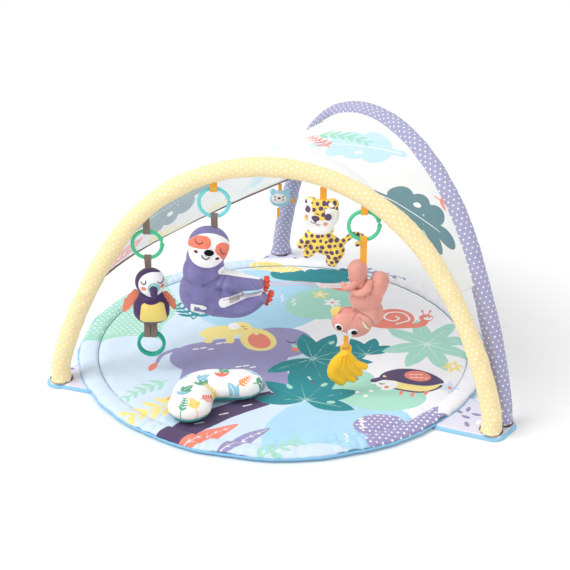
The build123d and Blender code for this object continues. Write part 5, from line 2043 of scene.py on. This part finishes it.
green = plasticFinish("greenGloss", tone(74, 204, 150), gloss=0.16, clear=0.08)
cyan = plasticFinish("cyanGloss", tone(122, 218, 226), gloss=0.16, clear=0.10)
teal = plasticFinish("tealGloss", tone(22, 172, 150), gloss=0.18, clear=0.06)
orange = ribbonFinish("orangeTape", tone(252, 176, 52))
brown = plasticFinish("brownPlastic", tone(88, 66, 58), gloss=0.42, grain=0.8)
steel = plasticFinish("nickelSteel", tone(190, 188, 184), gloss=0.24, metal=1.0)
ivory = plasticFinish("ivoryPlastic", tone(236, 234, 228), gloss=0.4, grain=0.4)
foam = plushFinish("creamFoam", tone(246, 242, 226), pile=700.0, bumps=0.6, sheen=0.1)
grey = plasticFinish("darkGreyPlastic", tone(52, 52, 56), gloss=0.4, grain=0.5)
board = plasticFinish("boardGreen", tone(38, 104, 66), gloss=0.3)
red = plasticFinish("redPlastic", tone(222, 92, 84), gloss=0.3)
satin = ribbonFinish("greySatin", tone(178, 172, 180), rib=0.5, bumps=0.15)

dress(green, "toucan_link", "plush_link")
dress(cyan, "sloth_link")
dress(teal, "teether_ring_front", "teether_ring_rear")
dress(taupe, "toucan_hanger", "toucan_strap", "toucan_lower_straps", "sloth_strap")
dress(
    orange,
    "sloth_hanger",
    "plush_hanger",
    "plush_straps",
    "leopard_strap",
    "back_toy_ribbons",
    "pillow_tag",
)
dress(brown, "socket_left", "socket_back", "socket_right_front", "socket_right_rear")
for archName in ("front", "rear"):
    dress(brown, f"{archName}_plug_left", f"{archName}_plug_right")
    dress(ivory, f"{archName}_rod_left", f"{archName}_rod_right")
    dress(steel, f"{archName}_ferrule")
    dress(foam, f"{archName}_padding")
dress(steel, "socket_rivets", "music_cells")
dress(ivory, "music_case_front", "music_case_back")
dress(red, "music_button")
dress(board, "music_board")
dress(grey, "music_speaker")
dress(satin, "canopy_tab")
dress(foam, "mat_filling")
print("CAD pieces dressed")


studio = {
    "floor": tone(247, 247, 247),
    "sky": 0.68,
    "lamps": (  # name, place, watts, width of the square
        ("key", (-1.6, -2.6, 3.4), 30.0, 2.2),
        ("fill", (2.8, -0.6, 2.2), 9.0, 2.4),
        ("back", (0.4, 2.8, 3.0), 12.0, 2.6),
    ),
    "sunPlace": (-1.5, -2.2, 3.6),
    "sunPower": 1.2,
    "sunSpread": 38.0,
    "aim": (0.05, -0.05, 0.15),
    "lens": 100.4,
    "cameraPlace": (1.7739, -2.3555, 1.6465),
    "cameraForward": (-0.53590, 0.71402, -0.45055),
    "cameraRight": (0.79979, 0.60027, 0.0),
}


def makeStage():
    # pale floor, an even sky, a broad soft sun and three soft lights
    floor = bpy.data.meshes.new("floor")
    corners = [(40 * x, 40 * y, -0.0005) for x, y in ((-1, -1), (1, -1), (1, 1), (-1, 1))]
    floor.from_pydata(corners, [], [(0, 1, 2, 3)])
    ground = bpy.data.objects.new("floor", floor)
    bpy.context.scene.collection.objects.link(ground)
    paper = Finish("paleFloor")
    speck = paper.noise(3.0, 2.0)
    paper.set(Base_Color=studio["floor"], Roughness=(speck - 0.5) * 0.05 + 0.8)
    floor.materials.append(paper.material)
    world = bpy.data.worlds.new("studio")
    world.use_nodes = True
    world.node_tree.nodes["Background"].inputs["Color"].default_value = (1.0, 1.0, 1.0, 1.0)
    world.node_tree.nodes["Background"].inputs["Strength"].default_value = studio["sky"]
    bpy.context.scene.world = world
    for name, place, power, size in studio["lamps"]:
        data = bpy.data.lights.new(name, "AREA")
        data.shape = "SQUARE"
        data.size = size
        data.energy = power
        aimLamp(name, data, place)
    sun = bpy.data.lights.new("sun", "SUN")
    sun.energy = studio["sunPower"]
    sun.angle = math.radians(studio["sunSpread"])
    aimLamp("sun", sun, studio["sunPlace"])


def aimLamp(name, data, place):
    # a lamp at a place, turned to the gym's middle
    lamp = bpy.data.objects.new(name, data)
    bpy.context.scene.collection.objects.link(lamp)
    lamp.location = place
    lamp.rotation_euler = (Vector(studio["aim"]) - Vector(place)).to_track_quat("-Z", "Y").to_euler()


def makeCamera():
    # a long lens from the right of the front, looking down
    camera = bpy.data.cameras.new("camera")
    camera.lens = studio["lens"]
    camera.sensor_width = 36.0
    camera.clip_end = 100.0
    holder = bpy.data.objects.new("camera", camera)
    bpy.context.scene.collection.objects.link(holder)
    forward = Vector(studio["cameraForward"])
    right = Vector(studio["cameraRight"])
    above = right.cross(forward)
    turn = Matrix((right, above, -forward)).transposed().to_4x4()
    holder.matrix_world = Matrix.Translation(studio["cameraPlace"]) @ turn
    bpy.context.scene.camera = holder
    bpy.context.scene.view_settings.view_transform = "Standard"


makeStage()
makeCamera()
print("finished")
